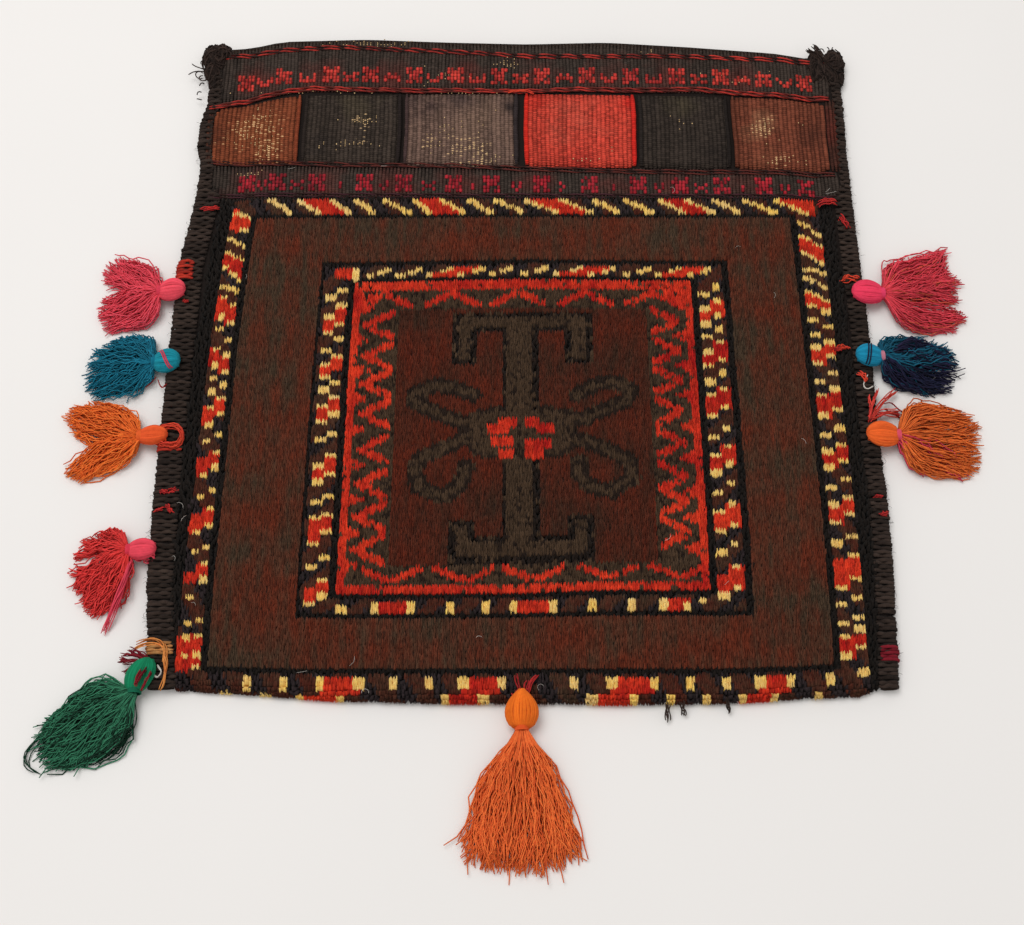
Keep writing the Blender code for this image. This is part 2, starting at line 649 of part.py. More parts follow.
def build_patch(name, wool, side, low_y, high_y, inner_share, outer_share, ridges):
    """Coloured wool sewn over a binding: a thin curved wrap with a ridge for each turn."""
    bm = bmesh.new()
    middle = 0.5 * BINDING_TOP
    rings = []
    for i, y in enumerate(straight(low_y, high_y, 2 * ridges + 1)):
        rise = PATCH_THICK + (PATCH_RIDGE if i % 2 else 0.0)
        inner = side.outer_x(y) - side.sign * side.bound * inner_share
        bulge = side.outer_x(y) - side.sign * middle

        def arc(radius):
            turns = straight(0.0, outer_share * math.pi, PATCH_STEPS)
            return [(bulge + side.sign * radius * math.sin(t), middle + radius * math.cos(t)) for t in turns]

        under = [(inner, BINDING_TOP + CLEAR)] + arc(middle + CLEAR)
        over = arc(middle + CLEAR + rise)[::-1] + [(inner, BINDING_TOP + CLEAR + rise)]
        rings.append([(x, y, z) for x, z in under + over])
    loft(bm, rings)
    return finish_object(name, bm, (wool,))


def build_tuft(name, wool, side, y, size, lobes):
    """A loose tuft of cut yarn beside a binding: a flattened lump with a few lobes."""
    bm = bmesh.new()
    bmesh.ops.create_icosphere(bm, subdivisions=2, radius=1.0)
    for vert in bm.verts:
        around = math.atan2(vert.co.y, vert.co.x)
        lobe = 1.0 + LOBE_DEEP * math.cos(lobes * around)
        vert.co = Vector((vert.co.x * size[0] * lobe, vert.co.y * size[1] * lobe, vert.co.z * size[2])) * MM
    near = min(side.sign * (vert.co.x - side.wall_x(y + vert.co.y)) for vert in bm.verts)
    x = side.sign * (CLEAR - near)
    return finish_object(name, bm, (wool,), (x, y, 0.5 * BINDING_TOP))


def skirt_ring(tassel, share, drop):
    """One closed ring of the skirt, across its top from one side of the fan to the other and back."""
    first, last = tassel.fan[0][0], tassel.fan[-1][0]
    widen = smooth(share / 0.3)
    thick = NECK_RADIUS + (0.5 * SKIRT_THICK - NECK_RADIUS) * widen
    thick += (0.5 * TIP_THICK - 0.5 * SKIRT_THICK) * smooth((share - 0.3) / 0.7)
    middle = thick + drop * (1.0 - smooth(share / 0.55))
    top, bottom = [], []
    for i, across in enumerate(straight(-1.0, 1.0, FAN_POINTS)):
        turn = first + (last - first) * 0.5 * (across + 1.0)
        reach = fan_reach(tassel.fan, turn) * (1.0 - 0.05 * (i % 2) * share)
        u = tassel.neck + 0.5 * NECK_THREAD_LONG + reach * share * math.cos(turn)
        v = tassel.shift + reach * share * math.sin(turn) + NECK_RADIUS * across * (1.0 - share)
        half = thick * math.sqrt(max(0.0, 1.0 - 0.86 * across * across))
        flute = FLUTE * widen * (i % 2)
        top.append((u, v, middle + half - flute))
        bottom.append((u, v, middle - half))
    return top + bottom[::-1]


def fan_reach(fan, turn):
    """Length of the skirt in a direction, eased between the fan's points."""
    for (a, low), (b, high) in zip(fan, fan[1:]):
        if turn <= b + 1e-9:
            return low + (high - low) * smooth((turn - a) / (b - a))
    return fan[-1][1]


def head_ring(u, v, w, half_wide, half_thick):
    """One upright oval ring of the eye, head or neck, with as many points as a skirt ring."""
    ring = []
    for across in straight(-1.0, 1.0, FAN_POINTS):
        turn = across * 0.5 * math.pi * (1.0 - 1.0 / FAN_POINTS)
        ring.append((u, v + half_wide * math.sin(turn), w + half_thick * math.cos(turn)))
    return ring + [(u, y, 2.0 * w - z) for _, y, z in reversed(ring)]


def rest_on_edge(ring):
    """Flatten the underside of a ring where it lies on the binding."""
    return [(u, v, max(w, CLEAR - TIE_ABOVE)) for u, v, w in ring]


def tie_place(tassel):
    """Middle of the tie, on the tassel's hinge axis."""
    if tassel.edge == "bottom":
        x, y = tassel.place, fold_y(tassel.place) + tassel.inset
        return x, y, layers(x, y)[3] + PILE_HIGH + TIE_ABOVE
    side = SIDES[tassel.edge]
    return side.outer_x(tassel.place) - side.sign * tassel.inset, tassel.place, BINDING_TOP + TIE_ABOVE


def build_tassel(tassel):
    """A tassel's yarns, its neck thread and the tie it hangs on, with their origins on the tie."""
    place = tie_place(tassel)
    axis_z = place[2]
    neck_w = NECK_RADIUS + NECK_RISE * (axis_z - NECK_RADIUS) - axis_z
    head = tassel.head_middle
    wide, thick = tassel.head_half_wide, tassel.head_half_thick
    nose = EYE_LUG_RADIUS
    rings = [
        head_ring(-nose, 0.0, 0.0, 0.4 * nose, 0.4 * nose),
        head_ring(-0.6 * nose, 0.0, 0.0, 0.85 * nose, 0.8 * nose),
        head_ring(0.5 * nose, 0.0, 0.0, 0.9 * nose, nose),
    ]
    for share in straight(-0.82, 0.72, HEAD_STEPS):
        swell = math.sqrt(1.0 - share * share)
        along = head + share * (head - 1.15 * nose)
        rings.append(rest_on_edge(head_ring(along, tassel.shift * smooth(0.5 + 0.5 * share),
                                            tassel.lift * smooth(0.9 + share), wide * swell, thick * swell)))
    for end in (-0.5, 0.5):
        along = tassel.neck + end * NECK_THREAD_LONG
        rings.append(head_ring(along, tassel.shift, neck_w, NECK_RADIUS, NECK_RADIUS))
    drop = axis_z + neck_w - NECK_RADIUS
    for share in SKIRT_STEPS:
        rings.append([(u, v, w - axis_z) for u, v, w in skirt_ring(tassel, share, drop)])

    bm = bmesh.new()
    loops = loft(bm, rings, close_ends=False)
    bm.faces.new(loops[0])
    tips = loops[-1]
    for i in range(FAN_POINTS - 1):
        bm.faces.new((tips[i], tips[i + 1], tips[-2 - i], tips[-1 - i]))
    skein = finish_object("tassel_%s_skein" % tassel.name, bm, (tassel.colour,), place, tassel.heading)

    hole = bmesh.new()
    bmesh.ops.create_cone(hole, cap_ends=True, segments=8, radius1=EYE_RADIUS, radius2=EYE_RADIUS,
                          depth=4.0 * EYE_LUG_RADIUS)
    bmesh.ops.rotate(hole, verts=hole.verts, matrix=Matrix.Rotation(0.5 * math.pi, 3, "X"))
    cut(skein, finish_object("tassel_%s_eye_guide" % tassel.name, hole, (), place, tassel.heading))

    band = bmesh.new()
    half_long = 0.5 * NECK_THREAD_LONG - CLEAR
    inner, outer = NECK_RADIUS + CLEAR, NECK_RADIUS + CLEAR + NECK_THREAD_THICK
    sections = ((-half_long, inner), (-0.6 * half_long, outer), (0.6 * half_long, outer), (half_long, inner))
    loops = loft(band, [head_ring(tassel.neck + along, tassel.shift, neck_w, radius, radius)
                        for along, radius in sections], close_ends=False)
    for i in range(len(loops[0])):
        j = (i + 1) % len(loops[0])
        band.faces.new((loops[-1][i], loops[-1][j], loops[0][j], loops[0][i]))
    finish_object("tassel_%s_neck_thread" % tassel.name, band, (tassel.colour,), place, tassel.heading)

    build_tie("tassel_%s_tie" % tassel.name, tassel.colour, place, tassel.heading)


def build_tie(name, colour, place, turn):
    """Sewing thread: up out of the edge, straight through the tassel's eye, and down again."""
    low = -TIE_ABOVE + CLEAR
    half = [(TIE_HALF_SPAN, low), (TIE_HALF_SPAN, 0.3 * low), (0.78 * TIE_HALF_SPAN, 0.0)]
    route = [(0.0, v, w) for v, w in half] + [(0.0, -v, w) for v, w in reversed(half)]
    curve = bpy.data.curves.new(name, "CURVE")
    curve.dimensions = "3D"
    curve.bevel_depth = TIE_THICK
    curve.bevel_resolution = 1
    curve.use_fill_caps = True
    spline = curve.splines.new("POLY")
    spline.points.add(len(route) - 1)
    for point, at in zip(spline.points, route):
        point.co = (*at, 1.0)
    curve.materials.append(make_material(colour))
    tie = bpy.data.objects.new(name, curve)
    tie.location = place
    tie.rotation_euler = (0.0, 0.0, turn)
    bpy.context.scene.collection.objects.link(tie)


def main():
    clear_scene()
    build_cloth()
    for name, side, rise, length, half_wide, half_thick, tips in KNOTS:
        high_y = SIDES[side].mouth_y() + rise * MM
        low_y = high_y - length * MM
        build_binding("binding_" + side, SIDES[side], low_y - CLEAR)
        build_knot(name, SIDES[side], low_y, high_y, half_wide * MM, half_thick * MM, tips)
    for name, wool, side, low, high, inner_share, outer_share, turns in PATCHES:
        build_patch(name, wool, SIDES[side], low * MM, high * MM, inner_share, outer_share, turns)
    for name, wool, side, place, size, lobes in TUFTS:
        build_tuft(name, wool, SIDES[side], place * MM, size, lobes)
    for tassel in TASSELS:
        build_tassel(tassel)


main()
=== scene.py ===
# %% [markdown]
# # A hand-knotted bag with nine yarn tassels
#
# The real bag is one pouch of a saddle bag. It is woven as a single strip: a plain back, then a face
# with knotted pile, then a flat-woven band with six small ribbed squares. The strip is folded at the
# bottom, and its two layers are held together at the sides by overcast goat hair. Yarn tassels hang
# from the edges. The construction is loaded as a fixed frame, and everything soft is remade round it.

# %% Load the frame
import json
import math

import bmesh
import bpy
import numpy as np
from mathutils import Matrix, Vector
from mathutils.bvhtree import BVHTree


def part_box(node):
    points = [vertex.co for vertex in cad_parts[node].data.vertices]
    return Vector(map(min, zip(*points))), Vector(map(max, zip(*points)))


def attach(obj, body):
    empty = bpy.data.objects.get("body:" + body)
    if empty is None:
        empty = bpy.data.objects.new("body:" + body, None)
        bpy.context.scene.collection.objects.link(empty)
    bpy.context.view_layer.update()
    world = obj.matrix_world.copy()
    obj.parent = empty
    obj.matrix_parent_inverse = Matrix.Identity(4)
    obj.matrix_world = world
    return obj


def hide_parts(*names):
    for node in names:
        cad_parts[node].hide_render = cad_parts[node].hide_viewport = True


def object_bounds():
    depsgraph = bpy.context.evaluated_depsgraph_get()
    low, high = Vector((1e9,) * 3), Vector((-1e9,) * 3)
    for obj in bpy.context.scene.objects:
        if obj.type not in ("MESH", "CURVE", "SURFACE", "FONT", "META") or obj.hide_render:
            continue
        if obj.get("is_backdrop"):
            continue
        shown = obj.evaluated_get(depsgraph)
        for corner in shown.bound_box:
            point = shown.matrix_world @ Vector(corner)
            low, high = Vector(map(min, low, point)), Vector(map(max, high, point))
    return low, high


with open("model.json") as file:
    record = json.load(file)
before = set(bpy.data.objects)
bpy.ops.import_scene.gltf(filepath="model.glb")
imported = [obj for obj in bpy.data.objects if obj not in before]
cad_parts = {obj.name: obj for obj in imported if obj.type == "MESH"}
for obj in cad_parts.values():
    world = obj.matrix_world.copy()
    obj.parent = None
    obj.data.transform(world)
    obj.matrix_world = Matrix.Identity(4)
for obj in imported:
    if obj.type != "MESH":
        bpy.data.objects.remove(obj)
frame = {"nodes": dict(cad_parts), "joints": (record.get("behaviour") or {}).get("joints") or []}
cad_low, cad_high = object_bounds()
MM = 0.001
print("frame:", len(frame["nodes"]), "solids,", [round(v, 3) for v in cad_high - cad_low], "m")

# %% [markdown]
# ## Camera, floor and light
#
# The bag lies on a pale floor and is seen from above its lower edge. Its sides converge a little, so
# the camera is about a metre up and tilted. Soft light comes from a large lamp and an even sky, whose
# sum shows a colour about as it is written.

# %% Camera
CAMERA_PLACE = (-0.008, -0.508, 1.0075)
CAMERA_PITCH_DOWN = 67.87
CAMERA_LENS = 49.2

camera_data = bpy.data.cameras.new("camera")
camera_data.lens = CAMERA_LENS
camera = bpy.data.objects.new("camera", camera_data)
camera.location = CAMERA_PLACE
camera.rotation_euler = (math.radians(90.0 - CAMERA_PITCH_DOWN), 0.0, 0.0)
bpy.context.scene.collection.objects.link(camera)
bpy.context.scene.camera = camera
bpy.context.scene.view_settings.view_transform = "Standard"
print("camera", CAMERA_PLACE, "pitch", CAMERA_PITCH_DOWN)


# %% Shader maths
# A Shade wraps one output socket. Python's operators on it add Math nodes, and node() adds any other.
class Shade:
    """One output of a node in a material, which can be used in Python expressions."""

    def __init__(self, tree, socket=None):
        self.tree = tree
        self.socket = socket

    def node(self, kind, settings=None, sockets=None, out=0):
        """Add a node: its settings first, then the values or links of its sockets."""
        made = self.tree.nodes.new("ShaderNode" + kind)
        for name, value in (settings or {}).items():
            if name == "stops":
                self.set_stops(made.color_ramp, value)
            else:
                setattr(made, name, value)
        for name, value in (sockets or {}).items():
            self.plug(made.inputs[name], value)
        return Shade(self.tree, made.outputs[out])

    def set_stops(self, ramp, stops):
        while len(ramp.elements) < len(stops):
            ramp.elements.new(1.0)
        for element, (place, colour) in zip(ramp.elements, stops):
            element.position = place
            element.color = (*colour, 1.0)

    def plug(self, target, value):
        if isinstance(value, Shade):
            self.tree.links.new(value.socket, target)
        elif isinstance(value, tuple) and len(value) == 3 and target.type == "RGBA":
            target.default_value = (*value, 1.0)
        else:
            target.default_value = value

    def maths(self, operation, *values):
        return self.node("Math", {"operation": operation}, dict(enumerate(values)))

    def __add__(self, other):
        return self.maths("ADD", self, other)

    def __sub__(self, other):
        return self.maths("SUBTRACT", self, other)

    def __rsub__(self, other):
        return self.maths("SUBTRACT", other, self)

    def __mul__(self, other):
        return self.maths("MULTIPLY", self, other)

    def __truediv__(self, other):
        return self.maths("DIVIDE", self, other)

    def __gt__(self, other):
        return self.maths("GREATER_THAN", self, other)

    __radd__ = __add__
    __rmul__ = __mul__

    def clamp(self):
        return self.node("Clamp", None, {0: self})

    def mix(self, factor, low, high):
        """A colour between two colours."""
        return self.node("Mix", {"data_type": "RGBA"}, {0: factor, 6: low, 7: high}, 2)

    def noise(self, scale, stretch=(1.0, 1.0, 1.0), detail=2.0):
        """Noise on the piece's own coordinates, in cycles per metre, stretched by axis."""
        place = self.node("TexCoord", None, None, 3)
        mapped = self.node("Mapping", None, {"Vector": place, "Scale": tuple(scale * s for s in stretch)})
        return self.node("TexNoise", None, {"Vector": mapped, "Scale": 1.0, "Detail": detail})


def srgb(red, green, blue):
    """A colour picked as it looks on a screen, 0 to 255, as the linear light that shaders use."""
    return tuple((v / 255.0 / 12.92) if v < 10.3 else ((v / 255.0 + 0.055) / 1.055) ** 2.4
                 for v in (red, green, blue))


def scaled(colour, share):
    """A colour made darker or lighter by a share."""
    return tuple(min(1.0, value * share) for value in colour)


# %% Floor, lamp and sky
FLOOR_HALF = 4.0
FLOOR_MOTTLE = 3.0
FLOOR_DARK = 0.96
FLOOR_COLOUR = srgb(236, 233, 230)
LAMP_PLACE = (-1.1, 0.95, 3.6)
LAMP_SIZE = 2.4
LAMP_POWER = 78.7
SKY = (1.0, 0.99, 0.98)
SKY_STRENGTH = 0.62


def start_material(name):
    material = bpy.data.materials.new(name)
    material.use_nodes = True
    return material, Shade(material.node_tree), material.node_tree.nodes["Principled BSDF"]


def finish_material(shade, shader, colour, rough, specular):
    """Give a material its colour, and make it matt."""
    shade.plug(shader.inputs["Base Color"], colour)
    shader.inputs["Roughness"].default_value = rough
    shader.inputs["Specular IOR Level"].default_value = specular


def roughen(shade, shader, height, strength, distance):
    """Bump from a height."""
    bump = shade.node("Bump", None, {"Strength": strength, "Distance": distance, "Height": height})
    shade.plug(shader.inputs["Normal"], bump)


def make_floor():
    """A large pale plane, a little mottled so that it doesn't look empty."""
    material, shade, shader = start_material("pale_floor")
    mottle = shade.noise(FLOOR_MOTTLE, detail=3.0)
    colour = shade.mix(mottle, scaled(FLOOR_COLOUR, FLOOR_DARK), FLOOR_COLOUR)
    finish_material(shade, shader, colour, 0.9, 0.2)
    bm = bmesh.new()
    bmesh.ops.create_grid(bm, x_segments=1, y_segments=1, size=FLOOR_HALF)
    mesh = bpy.data.meshes.new("floor")
    bm.to_mesh(mesh)
    bm.free()
    mesh.materials.append(material)
    floor = bpy.data.objects.new("floor", mesh)
    bpy.context.scene.collection.objects.link(floor)
    floor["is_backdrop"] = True


def make_light():
    lamp_data = bpy.data.lights.new("soft_lamp", "AREA")
    lamp_data.size = LAMP_SIZE
    lamp_data.energy = LAMP_POWER
    lamp = bpy.data.objects.new("soft_lamp", lamp_data)
    lamp.location = LAMP_PLACE
    lamp.rotation_euler = (-Vector(LAMP_PLACE)).to_track_quat("-Z", "Y").to_euler()
    bpy.context.scene.collection.objects.link(lamp)
    world = bpy.data.worlds.new("sky")
    world.use_nodes = True
    sky = world.node_tree.nodes["Background"]
    sky.inputs["Color"].default_value = (*SKY, 1.0)
    sky.inputs["Strength"].default_value = SKY_STRENGTH
    bpy.context.scene.world = world


make_floor()
make_light()
print("floor, lamp and sky made")

# %% [markdown]
# ## The bag's edges and heights
#
# No edge of the real bag is straight: it was woven by hand and has been pulled about for years. The
# solids hold that outline, so the edges are measured on them: the bindings' rings give the sides, and
# rays that run into the cloth find the fold and the mouth. The heights follow from the thickness of
# the two layers and the room between them, which closes towards the seams and the fold.

# %% Measure the edges
BACK_THICK = 2.2 * MM
FACE_THICK = 2.6 * MM
POCKET_GAP = 5.4 * MM
FOLD_GAP = 2.6 * MM
SEAM_GAP = 0.4 * MM
SEAM_UNDER = 2.3 * MM
POCKET_SLOPE = 45.0 * MM
FOLD_SLOPE = 60.0 * MM
FOLD_ROUND = 8.0 * MM
NEAR_MOUTH = 280.0 * MM
BINDING_TOP = 9.8 * MM
BINDING_SIDE = 4.5 * MM


def smooth(t):
    """Ease from 0 to 1, level at both ends."""
    t = np.clip(t, 0.0, 1.0)
    return t * t * (3.0 - 2.0 * t)


def side_lines(node, sign):
    """The y, outer x and inner x of a binding's rings."""
    rings = {}
    for vert in frame["nodes"][node].data.vertices:
        rings.setdefault(round(vert.co.y, 4), []).append(vert.co.x * sign)
    rows = sorted((y, sign * max(xs), sign * min(xs)) for y, xs in rings.items() if len(xs) > 6)
    return np.array(rows).T


def measured(at, values):
    """A function that reads off a line given by measured points."""
    return lambda place: np.interp(place, at, values)


LEFT_RINGS = side_lines("binding_left", -1.0)
RIGHT_RINGS = side_lines("binding_right", 1.0)
outer_left, inner_left = (measured(LEFT_RINGS[0], line) for line in LEFT_RINGS[1:])
outer_right, inner_right = (measured(RIGHT_RINGS[0], line) for line in RIGHT_RINGS[1:])


def solid_tree(node):
    """A solid of the frame, ready to be met by rays."""
    bm = bmesh.new()
    bm.from_mesh(frame["nodes"][node].data)
    tree = BVHTree.FromBMesh(bm)
    bm.free()
    return tree


cloth_tree = solid_tree("bag_cloth")
PROBE_X = np.linspace(-0.268, 0.268, 45)


def probe(x, y, z, way):
    """The y where a level ray into the cloth first meets it."""
    met = cloth_tree.ray_cast(Vector((x, y, z)), Vector((0.0, way, 0.0)))
    return met[0].y


fold_height = 0.5 * (BACK_THICK + FACE_THICK + FOLD_GAP)
fold_y = measured(PROBE_X, [probe(x, -1.0, fold_height, 1.0) for x in PROBE_X])


def rise(x, y):
    """Underside of the back, and the clear gap between the layers."""
    edge = np.minimum(x - inner_left(y), inner_right(y) - x) / POCKET_SLOPE
    under = SEAM_UNDER * (1.0 - smooth(3.0 * edge))
    by_fold = FOLD_GAP + (POCKET_GAP - FOLD_GAP) * smooth((y - fold_y(x)) / FOLD_SLOPE)
    return under, SEAM_GAP + (by_fold - SEAM_GAP) * smooth(edge)


def face_z(x, y):
    """Top of the face's ground weave."""
    under, gap = rise(x, y)
    return under + BACK_THICK + gap + FACE_THICK


mouth_y = measured(PROBE_X, [probe(x, 1.0, float(face_z(x, NEAR_MOUTH)) - 0.5 * FACE_THICK, -1.0)
                             for x in PROBE_X])
print("fold at", round(float(fold_y(0.0)), 4), "mouth at", round(float(mouth_y(0.0)), 4),
      "face", round(float(face_z(0.0, 0.0)), 4))

# %% [markdown]
# ## Repeating one yarn many times
#
# Knots, ribs, stitches and tassel yarns are the same few shapes, repeated thousands of times. Copying
# objects would be slow and would make thousands of pieces. Here a small template is modelled once
# with mesh operators, and numpy lays its copies into one mesh. Its material reads two attributes: a
# random tone for each copy, and the crown, which is 1 on top of a yarn and 0 at its sides, where the
# wool paints shade. A UV map gives each face a small cell of its own for baking.


# %% Templates and copies
CELL_RADIUS = 0.45


class Template:
    """The points and faces of a small closed shape, read once from its bmesh."""

    def __init__(self, bm):
        bmesh.ops.recalc_face_normals(bm, faces=bm.faces)
        bm.verts.index_update()
        self.points = np.array([vert.co[:] for vert in bm.verts])
        self.corners = np.array([vert.index for face in bm.faces for vert in face.verts])
        self.sizes = np.array([len(face.verts) for face in bm.faces])
        bm.free()


def strand_template(sides, rings):
    """A prism whose rings stand at z = 0, 1, 2 and so on: a filled circle, extruded ring by ring."""
    bm = bmesh.new()
    bmesh.ops.create_circle(bm, cap_ends=True, radius=1.0, segments=sides)
    end = bm.faces[:]
    for _ in range(rings - 1):
        made = bmesh.ops.extrude_face_region(bm, geom=end)["geom"]
        bmesh.ops.delete(bm, geom=end if len(bm.faces) > sides + 2 else [], context="FACES_ONLY")
        end = [item for item in made if isinstance(item, bmesh.types.BMFace)]
        bmesh.ops.translate(bm, vec=(0.0, 0.0, 1.0), verts=end[0].verts)
    return Template(bm)


def face_cells(template, count):
    """UV corners that give each face of each copy a cell of its own."""
    faces = count * len(template.sizes)
    across = math.ceil(math.sqrt(faces))
    order = np.repeat(np.arange(faces), np.tile(template.sizes, count))
    corner = np.concatenate([np.arange(size) for size in template.sizes])
    turn = 2.0 * np.pi * (corner + 0.5) / np.repeat(template.sizes, template.sizes)
    turn = np.tile(turn, count)
    u = (order % across + 0.5 + CELL_RADIUS * np.cos(turn)) / across
    v = (order // across + 0.5 + CELL_RADIUS * np.sin(turn)) / across
    return np.stack([u, v], axis=1)


def copies_mesh(name, template, points, tones, crown):
    """One mesh from an array of copies: points is (copies, template points, 3)."""
    count, size = points.shape[:2]
    mesh = bpy.data.meshes.new(name)
    mesh.vertices.add(count * size)
    mesh.vertices.foreach_set("co", points.astype(np.float32).ravel())
    corners = (template.corners[None, :] + size * np.arange(count)[:, None]).ravel()
    mesh.loops.add(len(corners))
    mesh.loops.foreach_set("vertex_index", corners.astype(np.int32))
    sizes = np.tile(template.sizes, count)
    mesh.polygons.add(len(sizes))
    mesh.polygons.foreach_set("loop_start", (np.cumsum(sizes) - sizes).astype(np.int32))
    mesh.update(calc_edges=True)
    mesh.shade_smooth()
    cells = mesh.uv_layers.new(name="OFBake")
    cells.data.foreach_set("uv", face_cells(template, count).astype(np.float32).ravel())
    tone = mesh.attributes.new("tone", "FLOAT", "POINT")
    tone.data.foreach_set("value", np.repeat(tones, size).astype(np.float32))
    top = mesh.attributes.new("crown", "FLOAT", "POINT")
    top.data.foreach_set("value", np.tile(np.clip(crown, 0.0, 1.0), count).astype(np.float32))
    return mesh


TRIANGLES = {}


def add_piece(name, mesh, material, body="bag", slot="pile_and_weave", replaces=()):
    """A named piece that rides on a body of the frame."""
    piece = bpy.data.objects.new(name, mesh)
    bpy.context.scene.collection.objects.link(piece)
    mesh.materials.append(material)
    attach(piece, body)
    if replaces:
        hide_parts(*replaces)
    TRIANGLES[name] = sum(len(face.vertices) - 2 for face in mesh.polygons)
    return piece


# %% Sweep many yarns at once
ABOVE_FLOOR = 0.1 * MM
CROWN_FROM = 0.86


def normalised(vectors):
    return vectors / np.maximum(np.linalg.norm(vectors, axis=-1, keepdims=True), 1e-12)


def sweep(name, paths, wide, thick, tones, up=(0.0, 0.0, 1.0), sides=6, ends=0.6):
    """Yarns along paths (yarns, rings, 3): wide is half across, and thick half along up."""
    paths = np.asarray(paths, float)
    count, rings = paths.shape[:2]
    template = strand_template(sides, rings)
    ring = np.rint(template.points[:, 2]).astype(int)
    along = normalised(np.gradient(paths, axis=1))
    up = np.broadcast_to(np.asarray(up, float), (count, 3))[:, None, :]
    side = normalised(np.cross(along, up))
    over = np.cross(side, along)
    wide = np.broadcast_to(wide, (count, rings)).copy()
    thick = np.broadcast_to(thick, (count, rings)).copy()
    for size in (wide, thick):
        size[:, 0] *= ends
        size[:, -1] *= ends
    points = paths[:, ring]
    points = points + side[:, ring] * (wide[:, ring] * template.points[:, 0])[..., None]
    points = points + over[:, ring] * (thick[:, ring] * template.points[:, 1])[..., None]
    points[..., 2] = np.maximum(points[..., 2], ABOVE_FLOOR)
    return copies_mesh(name, template, points, tones, template.points[:, 1] / CROWN_FROM)


def lay_yarns(name, paths, wide, thick, dice, material, slot="pile_and_weave", body="bag", replaces=(),
              **ways):
    """Sweep yarns into one named piece: dice pick their tones, or are a list of them."""
    tones = dice if isinstance(dice, list) else dice.random(len(paths))
    add_piece(name, sweep(name, paths, wide, thick, tones, **ways), material, body, slot, replaces)


print("one yarn of 6 sides and 4 rings has", len(strand_template(6, 4).sizes), "faces")

# %% [markdown]
# ## Wool
#
# All of it is matt wool that was dyed in small lots, so each yarn differs a little from the next, and
# a colour drifts over the cloth. The sides and roots of each yarn are painted darker than its top, as
# painted shade. One function makes every wool: the yarn's own tone picks between a dark and a light
# shade, a slow noise drifts it, and a fine noise gives the fuzz its bumps. A little sheen stands for
# the fibres that catch the light.


# %% Make a wool
# A stretch says how fast noise changes along x, y and z. Streaks run along the warps, partly from dye and
# partly as painted sheen of pile that lies over, and a dye lot that ran out leaves bands across them.
LEVEL = (1.0, 1.0, 1.0)
STREAK_AND_SHEEN = (1.0, 0.16, 1.0)
DYE_BANDS = (0.75, 1.9, 1.0)
PATCH_SCALE, STREAK_SCALE, YARN_SCALE, FUZZ_SCALE = 13.0, 190.0, 420.0, 900.0
FUZZ_HIGH = 0.6 * MM
SHEEN, SHEEN_ROUGH = 0.02, 0.6


def wool(name, colour, dark=0.62, light=1.3, drift=0.35, drift_to=None, stretch=LEVEL, fuzz=0.35, root=0.35):
    """A wool: its colour, how dark and light yarns go, what it drifts to, and the painted shade that darkens
    the sides and roots of its yarns.
    """
    material, shade, shader = start_material(name)
    tone, crown = (shade.node("Attribute", {"attribute_name": kind}, None, 2) for kind in ("tone", "crown"))
    fine = shade.noise(YARN_SCALE)
    # Painted shade: where the crown is low, on the sides and roots of a yarn, the colour is made darker.
    share = (tone * 0.7 + fine * 0.6 - 0.15 - (1.0 - crown) * root).clamp()
    patch = shade.noise(PATCH_SCALE, stretch if stretch == LEVEL else DYE_BANDS, detail=3.0)
    # Partly painted sheen: with the pile's stretch, this noise paints streaks along the warps, for dye and
    # for the sheen of pile that lies over.
    streak = shade.noise(STREAK_SCALE, stretch)
    drifted = ((patch - 0.5) * 5.0 * drift + (streak - 0.5) * 4.0 * drift + drift).clamp()
    other = drift_to or scaled(colour, 0.7)
    own, strange = (shade.mix(share, scaled(dye, dark), scaled(dye, light)) for dye in (colour, other))
    finish_material(shade, shader, shade.mix(drifted, own, strange), 0.95, 0.08)
    roughen(shade, shader, shade.noise(FUZZ_SCALE, detail=1.0), fuzz, FUZZ_HIGH)
    shader.inputs["Sheen Weight"].default_value = SHEEN
    shader.inputs["Sheen Roughness"].default_value = SHEEN_ROUGH
    return material


# %% [markdown]
# ## The woven strip
#
# Warps run the whole length of the strip, so the ground cloth of the back, the fold and the face is
# one sheet. It could be simulated, but it lies flat and sewn, so a fine grid is bent along its real
# path: down the back from the mouth, round the fold, and up the face. Solidify gives it its
# thickness. Its own weave and a few plain stripes show on the back. Under the pile and the band, its
# face is painted almost black, as painted shade in the gaps.

# %% Bend the strip
STRIP_COLUMNS = 42
STRIP_ROWS = 120
CLOSER_AT_FOLD = 1.15
STRIP_THICK = 1.9 * MM
STRIP_BEND = 4.2 * MM
BACK_SHORTER = 2.0 * MM
# The height above which the strip is its face, which lies under the pile and the band and is painted dark as
# shade.
PAINTED_SHADE_FROM = 4.4 * MM
BACK_SHARE = 0.495
BEND_SHARE = 0.01


